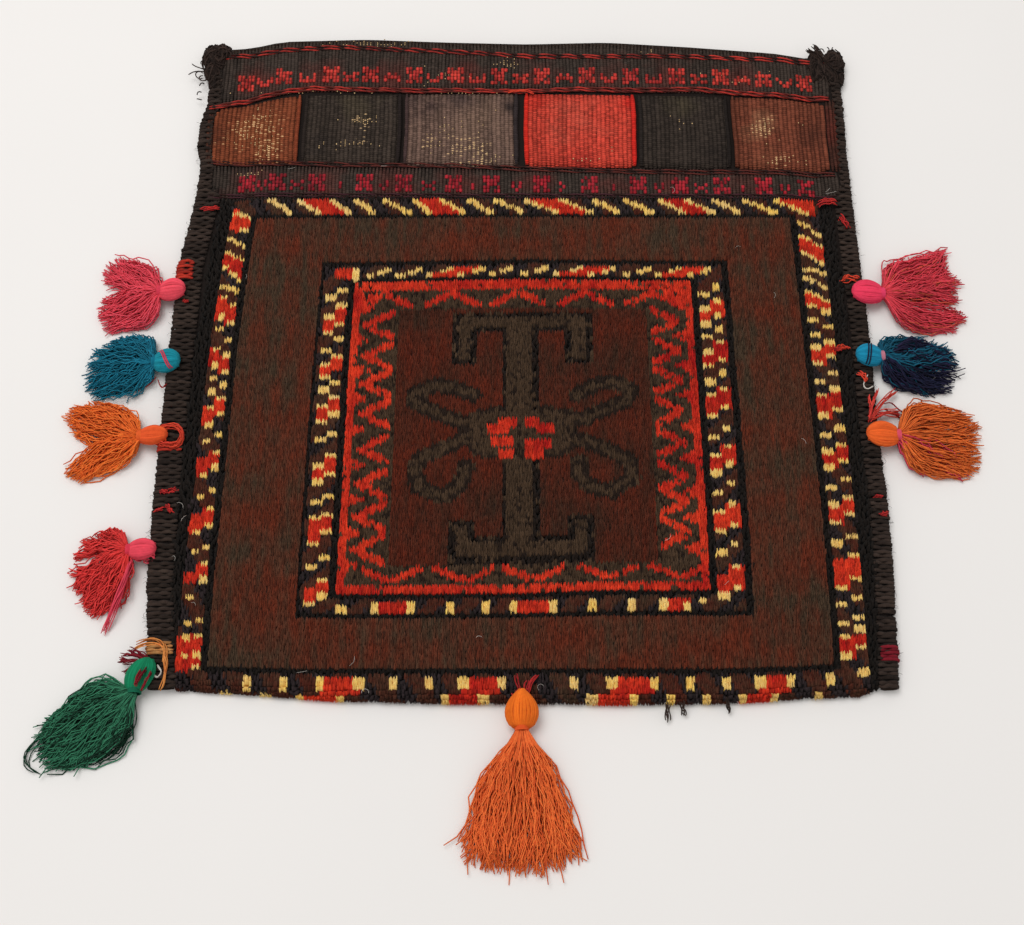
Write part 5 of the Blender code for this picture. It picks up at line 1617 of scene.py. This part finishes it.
def loose_ends(name, starts, seed, thick):
    """Threads that stand out of a lump: x, y, z, heading, length and bend."""
    dice = np.random.default_rng(seed)
    paths = [grow((x * MM, y * MM, z * MM), heading, length * MM, bend, THREAD_CLIMB, 14, dice)
             for x, y, z, heading, length, bend in starts]
    paths = np.array(paths)
    paths[..., 2] = np.maximum(paths[..., 2], thick)
    lay_yarns(name, paths, thick, thick, dice, knot_hair, "goat_hair", sides=5)


knot_hair = wool("knot_hair", srgb(58, 44, 38), dark=0.4, light=1.5, drift=0.4, drift_to=srgb(38, 31, 28),
                 fuzz=0.6, root=0.2)
LEFT_LUMPS = (((0.34, 0.62, 0.5), (1.0, 0.78, 0.95), 80), ((0.68, 0.78, 0.52), (0.75, 0.55, 0.9), 34),
              ((0.30, 0.22, 0.48), (0.72, 0.55, 0.8), 36), ((0.42, -0.12, 0.45), (0.5, 0.4, 0.7), 18))
RIGHT_LUMPS = (((0.55, 0.6, 0.5), (0.95, 0.8, 0.95), 70), ((0.35, 0.25, 0.5), (0.8, 0.6, 0.85), 36),
               ((0.75, 0.2, 0.45), (0.55, 0.5, 0.75), 22), ((-0.3, 0.45, 0.5), (0.95, 0.95, 0.7), 44))
wind("mouth_knot_left", "knot_top_left", LEFT_LUMPS, 101)
wind("mouth_knot_right", "knot_top_right", RIGHT_LUMPS, 102)
LEFT_ENDS = ((-276, 268, 8, 172, 13, -20), (-276, 266, 7, 178, 14, 25), (-277, 263, 6, 200, 22, 330),
             (-277, 260, 6, 215, 17, -280), (-262, 286, 9, 75, 7, 40), (-264, 286, 9, 90, 6, -50),
             (-263, 285, 10, 60, 7, 20), (-272, 283, 8, 130, 5, 60), (-276, 276, 8, 160, 5, 90),
             (-277, 246, 5, 190, 5, 70), (-276, 238, 5, 200, 5, -70), (-275, 254, 6, 170, 5, 60))
RIGHT_ENDS = ((268, 284, 9, 60, 7, 50), (271, 284, 9, 85, 7, -60), (275, 278, 8, 40, 5, 80),
              (277, 270, 7, 10, 5, 60), (277, 260, 6, -20, 5, -80), (265, 285, 9, 110, 6, 60))
loose_ends("knot_ends_left", LEFT_ENDS, 103, 0.5 * MM)
loose_ends("knot_ends_right", RIGHT_ENDS, 104, 0.45 * MM)


# %% Bunches of thread
BUNCH_YARN = 0.45 * MM
BUNCH_RINGS = 12


def soft_route(route):
    """A route of places x, y, z in millimetres as a smooth line of rings in metres."""
    route = np.array(route, float)
    x, y = settle(route[:, 0], route[:, 1], route[:, 2])
    places = np.stack([x, y, route[:, 2]], axis=1) * MM
    gone = np.concatenate([[0.0], np.cumsum(np.linalg.norm(np.diff(places, axis=0), axis=1))])
    share = np.linspace(0.0, 1.0, BUNCH_RINGS)
    line = np.stack([np.interp(share * gone[-1], gone, places[:, k]) for k in range(3)], axis=1)
    for _ in range(2):
        line[1:-1] = 0.25 * line[:-2] + 0.5 * line[1:-1] + 0.25 * line[2:]
    return line


def bunch(name, routes, count, loose, material, seed, slot, body="bag", replaces=()):
    """A few yarns along each route, as loose as a number of millimetres says."""
    dice = np.random.default_rng(seed)
    loose = loose * MM
    share = np.linspace(0.0, 1.0, BUNCH_RINGS)[:, None]
    paths = []
    for route in routes:
        line = soft_route(route)
        for _ in range(count):
            wave = np.sin(2.0 * math.pi * (share * dice.uniform(0.8, 2.0, 3) + dice.random(3)))
            paths.append(line + dice.normal(0.0, loose, 3) + wave * loose * 0.6)
    paths = np.array(paths)
    paths[..., 2] = np.maximum(paths[..., 2], BUNCH_YARN)
    lay_yarns(name, paths, BUNCH_YARN, BUNCH_YARN, dice, material, slot, body, replaces, sides=5)


RED_FLOATS = (((-277, -125, 10), (-272, -125, 10.6)), ((-270, -125, 10.6), (-265, -124, 10)),
              ((-279, -141, 10), (-274, -139, 10.6)), ((-271, -136, 10.4), (-267, -142, 10.6)),
              ((-274, 40, 10), (-271, 40, 10.6)), ((249, -4, 10), (254, -4, 10.6)),
              ((269, -129, 10), (274, -129, 10.6)), ((272, -144, 10), (277, -144, 10.6)))
TOP_LEFT_RED = (((-266, 126, 10.5), (-260, 128, 11.5), (-253, 128, 10.5)),)
TOP_RIGHT_RED = (((247, 130, 11), (254, 134, 13), (262, 132, 11)),
                 ((265, 119, 10.5), (268, 113, 11.5), (270, 108, 10.5)))
SQUARE_LOOP = (((-284, -74, 10), (-278, -71, 12), (-270, -70, 12), (-265, -72, 12), (-264, -79, 12),
                (-265, -87, 11.5), (-271, -89, 11), (-277, -88, 11)),
               ((-286, -80, 9), (-282, -86, 10), (-275, -88, 11), (-268, -87, 11)))
TEAL_LOOPS = (((-298, -26, 5), (-305, -33, 3), (-300, -38, 2), (-294, -34, 3), (-290, -28, 5)),
              ((-288, -30, 6), (-284, -38, 5), (-280, -34, 8)))
NAVY_LOOPS = (((276, -22, 7), (272, -30, 10), (268, -36, 10.5), (272, -40, 10.5), (277, -36, 10)),)
CUT_RED_ENDS = (((-1, -284, 12), (-3, -276, 15), (-5, -268, 13)),
                ((2, -284, 12), (5, -275, 15), (10, -268, 13)),
                ((1, -284, 12), (2, -277, 14), (4, -272, 14)),
                ((-8, -282, 11), (-2, -286, 13), (6, -284, 12)))
CORNER_COIL = (((-284, -248, 8), (-277, -244, 10.4), (-268, -243, 10.8), (-262.5, -246, 11.1),
                (-261, -252, 11.2), (-262, -258, 10.8)),
               ((-282, -245, 9), (-273, -241, 10.6), (-265, -242, 11), (-261, -248, 11.3),
                (-259.5, -255, 11)),
               ((-262, -253, 11.2), (-259.5, -263, 11.2), (-262, -279, 10.5)))
WHITE_LOOP = (((-266, -260, 10.5), (-262, -265, 11), (-265, -270, 10.5), (-269, -266, 10.5)),)
RIGHT_BITS = (((261, 60, 10.3), (267, 62, 11.6), (274, 60, 9.8)),
              ((252, -4, 10.2), (256, -2, 11.2), (260, -3, 10.4)),
              ((267, -25, 10.3), (271, -27, 11.6), (272, -32, 10.4)))
SPIKE = (((266, 276, 11), (261, 286, 12), (257, 294, 10)), ((264, 279, 11), (257, 286, 11), (251, 289, 10)))
MOUTH_RED = (((-12, 244, 12.5), (-6, 246, 13.5), (3, 246, 13.5), (10, 243, 13)),)
FOLD_DRIPS = (((104, -288, 9), (104, -294, 7), (104, -300, 4)),
              ((115, -288, 9), (115, -293, 6), (116, -297, 4)),
              ((147, -286, 9), (147, -290, 7), (148, -295, 4)))
thread_red = wool("thread_red", srgb(196, 50, 44), dark=0.55, drift=0.3, drift_to=srgb(140, 34, 44))
thread_scarlet = wool("thread_scarlet", srgb(232, 84, 52), dark=0.6, drift=0.3, drift_to=srgb(206, 50, 50))
thread_coil = wool("thread_coil", srgb(222, 146, 78), dark=0.55, drift=0.5, drift_to=srgb(196, 92, 40))
BUNCHES = (
    ("red_floats", RED_FLOATS, 7, 0.9, thread_red, "crimson_wool"),
    ("top_left_red", TOP_LEFT_RED, 9, 1.0, thread_red, "red_wool"),
    ("top_right_red", TOP_RIGHT_RED, 9, 1.2, thread_red, "red_wool"),
    ("square_loop", SQUARE_LOOP, 14, 1.3, thread_scarlet, "red_wool"),
    ("teal_loops", TEAL_LOOPS, 2, 0.5, thread_red, "yarn_pink"),
    ("grey_loop", NAVY_LOOPS, 2, 0.5, thread_white, "cream_wool"),
    ("cut_red_ends", CUT_RED_ENDS, 4, 0.7, thread_red, "red_wool"),
    ("corner_coil", CORNER_COIL, 4, 0.7, thread_coil, "cream_wool"),
    ("white_loop", WHITE_LOOP, 2, 0.3, thread_white, "cream_wool"),
    ("mouth_red", MOUTH_RED, 4, 0.6, thread_scarlet, "red_wool"),
    ("right_bits", RIGHT_BITS, 9, 1.1, thread_scarlet, "red_wool"),
    ("knot_spike", SPIKE, 11, 0.9, knot_hair, "goat_hair"),
    ("fold_drips", FOLD_DRIPS, 6, 0.8, knot_hair, "goat_hair"),
)
for number, (name, routes, count, loose, material, slot) in enumerate(BUNCHES):
    bunch(name, routes, count, loose, material, 140 + number, slot)
print("bunches:", len(BUNCHES))

# %% Tufts beside the tassels
LEFT_TUFT = (((-272, -258, 11), (-284, -254, 11), (-293, -253, 7)),
             ((-272, -259, 11), (-284, -258, 12), (-294, -258, 7)),
             ((-272, -260, 11), (-282, -263, 13), (-291, -265, 9)),
             ((-272, -257, 11), (-280, -252, 12), (-288, -249, 8)))
RIGHT_TUFT = (((271, -66, 9), (275, -52, 11), (280, -40, 8)), ((272, -66, 9), (282, -50, 8), (294, -41, 4)),
              ((272, -66, 9), (284, -58, 8), (296, -57, 4)), ((272, -64, 9), (282, -60, 8), (295, -62, 3)),
              ((271, -66, 9), (274, -56, 11), (273, -45, 11)))
YARN_END = (((284, -52, 7), (290, -50, 5), (294, -56, 4), (301, -62, 2), (305, -66, 2)),
            ((284, -56, 6), (290, -60, 4), (296, -64, 2)))
maroon_yarn = wool("maroon_tuft_yarn", srgb(124, 28, 38), dark=0.5, drift=0.2)
red_yarn = wool("red_tuft_yarn", srgb(216, 72, 58), dark=0.6, drift=0.3, drift_to=srgb(196, 44, 60))
bunch("maroon_tuft", LEFT_TUFT, 7, 1.1, maroon_yarn, 121, "crimson_wool", replaces=("maroon_tuft_left",))
bunch("red_tuft", RIGHT_TUFT, 6, 1.0, red_yarn, 122, "red_wool", replaces=("red_tuft_right",))
bunch("dark_yarn_end", YARN_END, 2, 0.3, maroon_yarn, 123, "crimson_wool")
print("lumps, tufts and loose ends made")

# %% [markdown]
# ## Tassels
#
# A tassel is a skein of yarn folded over its tie: a head bound off by neck thread, and a skirt of cut
# ends that fans out on the floor. Each body of the frame gives its place, direction and reach. Hair
# curves could make the skirt, but they don't export, so each yarn is a thin strand. Yarns spread fast
# after the neck, cling in locks, cross their neighbours and lie in layers from the floor up.

# %% Where each tassel is
JOINTS = {joint["child"]: joint for joint in frame["joints"]}
REACH_FROM = 150.0 * MM
REACH_HEIGHT = 3.0 * MM
NECK_RADIUS = 4.3 * MM
UP = np.array([0.0, 0.0, 1.0])


class Hang:
    """A tassel's own axes: along its skirt and across it, from its hinge and its solids."""

    def __init__(self, name):
        self.body = "tassel_" + name
        joint = JOINTS[self.body]
        self.tie = np.array(joint["pos_m"])
        self.along = np.array([-joint["axis"][1], joint["axis"][0], 0.0])
        self.across = np.array([-self.along[1], self.along[0], 0.0])
        low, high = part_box(self.body + "_neck_thread")
        self.neck = 0.5 * (np.array(low) + np.array(high))
        self.tree = solid_tree(self.body + "_skein")

    def reach(self, turn):
        """How far the skirt goes from its neck in a direction, met by a ray from outside."""
        way = self.along * math.cos(turn) + self.across * math.sin(turn)
        origin = self.neck + way * REACH_FROM
        origin[2] = REACH_HEIGHT
        met = self.tree.ray_cast(Vector(origin), Vector(-way))
        return REACH_FROM - met[3] if met[0] is not None else 0.0

    def place(self, u, v, z):
        """Points from the neck: along, across, and height above the floor."""
        flat = self.neck * np.array([1.0, 1.0, 0.0])
        return flat + u[..., None] * self.along + v[..., None] * self.across + z[..., None] * UP

    def ring(self, angle):
        """Directions round the tassel, from across to up."""
        return np.cos(angle)[..., None] * self.across + np.sin(angle)[..., None] * UP

    def add(self, piece, paths, half, dice, material, slot, solid=None, body=None, **ways):
        """Yarns as a piece that rides on this tassel and may stand for one of its solids."""
        replaces = (self.body + solid,) if solid else ()
        lay_yarns(self.body + piece, paths, half, half, dice, material, slot, body or self.body, replaces,
                  **ways)


tassel_names = [body[len("tassel_"):] for body in JOINTS]
HANGS = {name: Hang(name) for name in tassel_names}
for name, hang in HANGS.items():
    reaches = [round(hang.reach(math.radians(turn)), 3) for turn in (-45, 0, 45)]
    print(name, [round(v, 3) for v in hang.neck], reaches)

# %% Skirts
YARN = 0.6 * MM
YARN_ROOM = 0.1 * MM
SKIRT_RINGS = 11
SKIRT_DENSITY = 1.2
SHOULDER_RUN = 0.3
LEAST_RAY = 12.0 * MM
SHORTEST, LONG_ONES, LONG_BY = 0.84, 0.05, 1.08
SKIRT_TOP = 5.9 * MM
TIP_TOP = 2.8 * MM
WAVE_LONG = 17.0 * MM
SIDE_ROOM = 0.8
LEAST_REACH = {"tassel_orange_bottom": 0.97}


def skirt_paths(hang, lobe, dice):
    """Yarns of one lobe: first and last turn in degrees, yarns, kink, locks and width of its shoulder."""
    first, last, count, kink, locks, shoulder = lobe
    count = int(count * SKIRT_DENSITY)
    first, last, kink = math.radians(first), math.radians(last), kink * MM
    turns = np.linspace(first, last, 24)
    reaches = np.array([hang.reach(turn) for turn in turns])
    reaches = np.where(reaches > LEAST_RAY, reaches, np.max(reaches) * 0.6)
    reaches = np.maximum(reaches, np.max(reaches) * LEAST_REACH.get(hang.body, 0.0))
    across = dice.uniform(-1.0, 1.0, count)
    layer = dice.uniform(-1.0, 1.0, count)
    lock = np.minimum(((across + 1.0) * 0.5 * locks).astype(int), locks - 1)
    gather = dice.uniform(0.15, 0.55, locks)[lock][:, None]
    middle = (-1.0 + (lock + 0.5) * 2.0 / locks)[:, None]
    share = np.linspace(0.0, 1.0, SKIRT_RINGS)
    drawn = across[:, None] + (middle - across[:, None]) * gather * smooth(share * 1.3)
    span = 0.5 * (last - first)
    bend = dice.normal(0.0, 0.10, locks)[lock] + dice.normal(0.0, 0.09, count)
    turn = 0.5 * (first + last) + span * drawn + bend[:, None] * np.sin(math.pi * share)
    turn = turn + dice.normal(0.0, 0.05, count)[:, None] * share
    length = np.interp(turn[:, -1], turns, reaches) * dice.uniform(SHORTEST, 1.0, count)
    length = np.where(dice.random(count) < LONG_ONES, length * LONG_BY, length)
    run = length[:, None] * share
    wobble = np.zeros_like(run)
    for k in (1.0, 2.3):
        phase = 2.0 * math.pi * dice.random((count, 1))
        wobble += kink / k * np.sin(2.0 * math.pi * k * run / WAVE_LONG + phase) * smooth(share * 3.0)
    neck = NECK_RADIUS * SIDE_ROOM
    start = neck * across[:, None]
    way = 0.5 * (first + last)
    wide = shoulder * smooth(share / SHOULDER_RUN) + (1.0 - shoulder) * share
    ahead = run * np.cos(turn - way)
    aside = length[:, None] * np.sin(turn - way) * wide + start * (1.0 - share) + wobble
    u = ahead * math.cos(way) - aside * math.sin(way)
    v = ahead * math.sin(way) + aside * math.cos(way)
    thick = neck + (SKIRT_TOP - neck) * smooth(share / 0.3)
    thick = thick + (TIP_TOP - SKIRT_TOP) * smooth((share - 0.35) / 0.65)
    middle_z = thick + (hang.neck[2] - neck) * (1.0 - smooth(share / 0.5))
    edge = np.sqrt(1.0 - 0.6 * across ** 2)[:, None]
    z = middle_z + layer[:, None] * (thick - YARN) * edge
    phase = 2.0 * math.pi * dice.random((count, 1))
    z = z + 0.8 * kink * np.sin(2.0 * math.pi * run / (1.3 * WAVE_LONG) + phase) * smooth(share * 3.0)
    return hang.place(u, v, np.maximum(z, YARN + YARN_ROOM))


# %% Heads, necks and ties
HEAD_NECK = 0.47
HEAD_BACK = 1.2 * MM
HEAD_ARCH = 1.2 * MM
HEAD_STRANDS, HEAD_YARN, HEAD_JITTER = 42, 1.15 * MM, 0.16
NECK_TURNS, NECK_YARN, NECK_WIDE, NECK_ROOM = 4, 0.7 * MM, 3.6 * MM, 0.3 * MM
TIE_HALF_SPAN, TIE_DEEP, TIE_TWIST = 4.4 * MM, 3.1 * MM, 5.0 * MM
TIE_YARN, TIE_RADIUS = 0.45 * MM, 0.42 * MM
CROSS_YARN = 0.6 * MM
CROSS_RISE = 1.3


def head_points(hang, shape, share, around):
    """Places on a head: from the tie at 0 to the neck at 1, and round it from across to up."""
    half_wide, half_thick, peak, round_by = shape
    rising = np.sin(0.5 * math.pi * np.clip(share / peak, 0.0, 1.0)) ** round_by
    past_peak = np.clip((share - peak) / (1.0 - peak), 0.0, 1.0)
    falling = HEAD_NECK + (1.0 - HEAD_NECK) * np.cos(0.5 * math.pi * past_peak) ** 0.7
    swell = np.maximum(np.where(share < peak, rising, falling), 0.12)
    start = hang.tie - HEAD_BACK * hang.along
    arch = HEAD_ARCH * np.sin(math.pi * share)
    centre = start + (hang.neck - start) * share[..., None] + UP * arch[..., None]
    wide = half_wide * MM * swell * np.cos(around)
    tall = half_thick * MM * swell * np.sin(around)
    return centre + wide[..., None] * hang.across + tall[..., None] * UP


def make_head(hang, shape, material, seed, slot):
    """Yarns laid lengthwise over an oval between the tie and the neck."""
    dice = np.random.default_rng(seed)
    places = np.arange(HEAD_STRANDS) + dice.uniform(-HEAD_JITTER, HEAD_JITTER, HEAD_STRANDS)
    share = np.linspace(0.0, 1.0, 11)
    bend = dice.normal(0.0, 0.05, (HEAD_STRANDS, 1)) * np.sin(math.pi * share)
    around = (places * 2.0 * math.pi / HEAD_STRANDS)[:, None] + bend
    paths = head_points(hang, shape, np.broadcast_to(share, around.shape), around)
    hang.add("_head", paths, HEAD_YARN, dice, material, slot, "_skein", up=hang.ring(around[:, 5]), sides=5)


def make_neck(hang, material, slot):
    """A coil of thread round the neck."""
    angle = np.linspace(0.0, 2.0 * math.pi * NECK_TURNS, 16 * NECK_TURNS)
    run = np.linspace(-0.5, 0.5, len(angle)) * NECK_WIDE
    path = hang.neck + run[:, None] * hang.along + (NECK_RADIUS + NECK_ROOM) * hang.ring(angle)
    hang.add("_neck", path[None], NECK_YARN, [0.6], material, slot, "_neck_thread", up=hang.along)


def make_tie(hang, material, slot):
    """Two strands twisted together: out of the edge, through the tassel's eye and back."""
    corners = np.array(((1.0, -1.0), (1.0, -0.3), (0.78, 0.0))) * (TIE_HALF_SPAN, TIE_DEEP)
    corners = np.concatenate([corners, corners[::-1] * np.array((-1.0, 1.0))])
    gone = np.concatenate([[0.0], np.cumsum(np.hypot(*np.diff(corners, axis=0).T))])
    run = np.linspace(0.0, gone[-1], 26)
    v, w = (np.interp(run, gone, corners[:, k]) for k in (0, 1))
    middle = hang.tie + v[:, None] * hang.across + w[:, None] * UP
    over = np.cross(normalised(np.gradient(middle, axis=0)), hang.along)
    turn = 2.0 * math.pi * run / TIE_TWIST
    twist = TIE_RADIUS * (np.cos(turn)[:, None] * hang.along + np.sin(turn)[:, None] * over)
    paths = [middle + twist, middle - twist]
    hang.add("_thread", paths, TIE_YARN, [0.4, 0.7], material, slot, "_tie", body="bag", up=hang.along)


def cross_threads(name, runs, material, slot):
    """Threads wound over a head: each from one share and turn to another, on top of its yarns."""
    hang = HANGS[name]
    half_wide, half_thick, peak, round_by = TASSELS[name][4]
    shape = (half_wide + CROSS_RISE, half_thick + CROSS_RISE, peak, round_by)
    step = np.linspace(0.0, 1.0, 12)
    paths = [head_points(hang, shape, first + (last - first) * step, np.radians(low + (high - low) * step))
             for first, last, low, high in runs]
    hang.add("_stripe", paths, CROSS_YARN, [0.5] * len(paths), material, slot, up=hang.along)


# %% [markdown]
# ## Nine colours
#
# No two tassels were tied alike. Two on the left have skirts that part in two lobes, the blue one on
# the right has a dark lower half, and the long one hangs at the fold. Each is listed with its colours,
# the shape of its head and the lobes of its skirt.

# %% Make the nine tassels
ROUND_HEAD = (0.5, 0.5)
DROP_HEAD = (0.62, 0.85)
# For each tassel the colours of its skirt, head and neck thread, its slot, and the half width, half
# thickness, peak and roundness of its head. The lobes of the skirt follow.
TASSELS = {
    "pink_left": ((240, 74, 88), (248, 82, 98), (232, 70, 92), "yarn_pink", (9.0, 4.9, *ROUND_HEAD),
                  ((-64, -12, 125, 0.9, 5, 0.5), (4, 58, 135, 0.9, 5, 0.5), (-58, 52, 30, 0.9, 4, 0.6))),
    "teal_left": ((26, 104, 126), (28, 140, 158), (22, 120, 146), "yarn_teal", (9.2, 4.9, *ROUND_HEAD),
                  ((-66, 52, 190, 1.4, 8, 0.6), (16, 56, 70, 1.4, 4, 0.4), (-70, -24, 40, 1.5, 3, 0.4))),
    "orange_left": ((255, 108, 46), (246, 96, 48), (244, 106, 50), "yarn_orange", (7.0, 4.6, *ROUND_HEAD),
                    ((-50, -2, 120, 1.2, 5, 0.5), (-44, 46, 60, 1.2, 4, 0.3), (22, 50, 90, 1.0, 4, 0.5))),
    "rose_left": ((220, 60, 58), (244, 78, 96), (232, 64, 86), "yarn_rose", (7.4, 4.5, *ROUND_HEAD),
                  ((-60, 84, 200, 1.5, 8, 0.45), (30, 84, 100, 1.2, 4, 0.4))),
    "green_corner": ((50, 110, 82), (24, 128, 88), (28, 108, 80), "yarn_green", (9.4, 5.0, *ROUND_HEAD),
                     ((-84, -24, 190, 1.6, 7, 0.55), (-72, -34, 70, 1.4, 4, 0.3))),
    "orange_bottom": ((255, 106, 52), (250, 118, 36), (240, 96, 44), "yarn_orange", (11.2, 5.6, *DROP_HEAD),
                      ((-27, 25, 280, 1.3, 9, 0.2), (-20, 24, 70, 1.9, 4, 0.15))),
    "crimson_right": ((214, 66, 78), (250, 66, 98), (240, 70, 110), "yarn_crimson", (9.6, 4.9, *ROUND_HEAD),
                      ((-48, 56, 220, 1.1, 8, 0.45), (14, 56, 70, 1.1, 4, 0.4))),
    "navy_right": ((24, 84, 106), (30, 140, 176), (208, 132, 150), "yarn_navy", (8.6, 4.9, *ROUND_HEAD),
                   ((-6, 56, 165, 1.2, 7, 0.6), (-62, -42, 36, 1.3, 2, 0.3))),
    "rust_right": ((224, 104, 48), (244, 104, 44), (232, 88, 110), "yarn_rust", (9.6, 4.9, *ROUND_HEAD),
                   ((-52, 54, 290, 0.8, 8, 0.5),)),
}


def make_skirt(name, piece, lobes, material, slot, seed):
    """The yarns of one or more lobes as one piece."""
    dice = np.random.default_rng(seed)
    paths = np.concatenate([skirt_paths(HANGS[name], lobe, dice) for lobe in lobes])
    HANGS[name].add(piece, paths, YARN, dice, material, slot, sides=3, ends=0.7)


for number, name in enumerate(tassel_names):
    colour, head_colour, neck_colour, slot, shape, lobes = TASSELS[name]
    yarn = wool(name + "_yarn", srgb(*colour), dark=0.7, light=1.85, drift=0.2, fuzz=0.3, root=0.1)
    head_yarn = wool(name + "_head_yarn", srgb(*head_colour), dark=0.7, light=1.2, drift=0.2, fuzz=0.3)
    neck_yarn = wool(name + "_neck_yarn", srgb(*neck_colour), dark=0.7, light=1.1, drift=0.15, fuzz=0.3)
    make_skirt(name, "_skirt", lobes, yarn, slot, 200 + number)
    make_head(HANGS[name], shape, head_yarn, 300 + number, slot)
    make_neck(HANGS[name], neck_yarn, slot)
    make_tie(HANGS[name], CRIMSON if name == "orange_bottom" else head_yarn, slot)
print("skirts:", sum(TRIANGLES["tassel_%s_skirt" % name] for name in tassel_names), "triangles")

# %% Second colours
night_yarn = wool("night_yarn", srgb(46, 40, 70), dark=0.4, drift=0.3, drift_to=srgb(30, 44, 66))
pink_strands = wool("pink_strands", srgb(220, 70, 96), dark=0.6, drift=0.2)
blush_strands = wool("blush_strands", srgb(214, 92, 72), dark=0.6, drift=0.2)
dark_green = wool("dark_green_yarn", srgb(28, 62, 46), dark=0.6, drift=0.2)
rose_head = wool("rose_loop_yarn", srgb(242, 76, 96), dark=0.6, drift=0.2)
make_skirt("navy_right", "_dark_skirt", ((-56, 4, 130, 1.2, 7, 0.6),), night_yarn, "yarn_navy", 401)
make_skirt("rust_right", "_pink_low_yarns", ((-58, -34, 34, 1.0, 3, 0.3),), pink_strands, "yarn_pink", 402)
make_skirt("crimson_right", "_warm_yarns", ((-40, 50, 40, 1.1, 6, 0.5),), blush_strands, "yarn_crimson", 403)
cross_threads("teal_left", ((0.2, 0.75, 20, 160), (0.28, 0.83, 20, 160)), pink_strands, "yarn_pink")
cross_threads("navy_right", ((0.5, 0.3, 10, 170), (0.6, 0.4, 10, 170)), night_yarn, "yarn_navy")
make_skirt("green_corner", "_dark_yarns", ((-80, -30, 75, 2.0, 5, 0.5),), dark_green, "yarn_green", 405)

# %% Threads over the heads
GREEN_CURLS = (((-282, -283, 5), (-279, -299, 3), (-282, -314, 2), (-295, -329, 2), (-303, -332, 1)),
               ((-295, -279, 5), (-310, -274, 3), (-327, -283, 2), (-329, -289, 2), (-321, -287, 3)),
               ((-329, -296, 3), (-345, -312, 2), (-355, -323, 1), (-354, -335, 1), (-345, -337, 2)))
RED_OVER_GREEN = (((-274, -263, 17.5), (-277, -268, 20), (-281, -274, 18)),
                  ((-270, -265, 17), (-273, -271, 20), (-276, -279, 17)),
                  ((-278, -265, 19), (-281, -270, 19), (-280, -276, 18.5)))
ROSE_TAIL = (((-293, -182, 11), (-298, -204, 12), (-303, -220, 7), (-307, -236, 1.5)),)
LOOP_CENTRES = ((-283, -169), (-288, -176), (-281, -178), (-291, -170))
ROSE_LOOPS = tuple(tuple((x + 4.0 * math.cos(a), y + 4.0 * math.sin(a), 9.0 + 3.0 * math.cos(0.5 * a))
                         for a in range(7)) for x, y in LOOP_CENTRES)
HEAD_THREADS = (
    ("green_curls", "green_corner", GREEN_CURLS, 4, 1.2, dark_green, "yarn_green", 161),
    ("red_over_green", "green_corner", RED_OVER_GREEN, 4, 0.6, maroon_yarn, "crimson_wool", 162),
    ("rose_tail", "rose_left", ROSE_TAIL, 12, 1.2, rose_head, "yarn_rose", 164),
    ("rose_loops", "rose_left", ROSE_LOOPS, 7, 0.9, rose_head, "yarn_rose", 163),
)
for piece, name, routes, count, loose, material, slot, seed in HEAD_THREADS:
    bunch("tassel_" + piece, routes, count, loose, material, seed, slot, body="tassel_" + name)
print("second colours and threads over the heads made")

# %% [markdown]
# ## Size
#
# The last cell compares the dressed bag with the frame's box and prints how far it has grown.

# %% Finish
print("triangles in all:", sum(TRIANGLES.values()))
low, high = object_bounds()
{"cad": [list(cad_low), list(cad_high)], "visual": [list(low), list(high)]}
grown = [[round(v / MM, 1) for v in side] for side in (cad_low - low, high - cad_high)]
print("grown by", *grown, "mm")
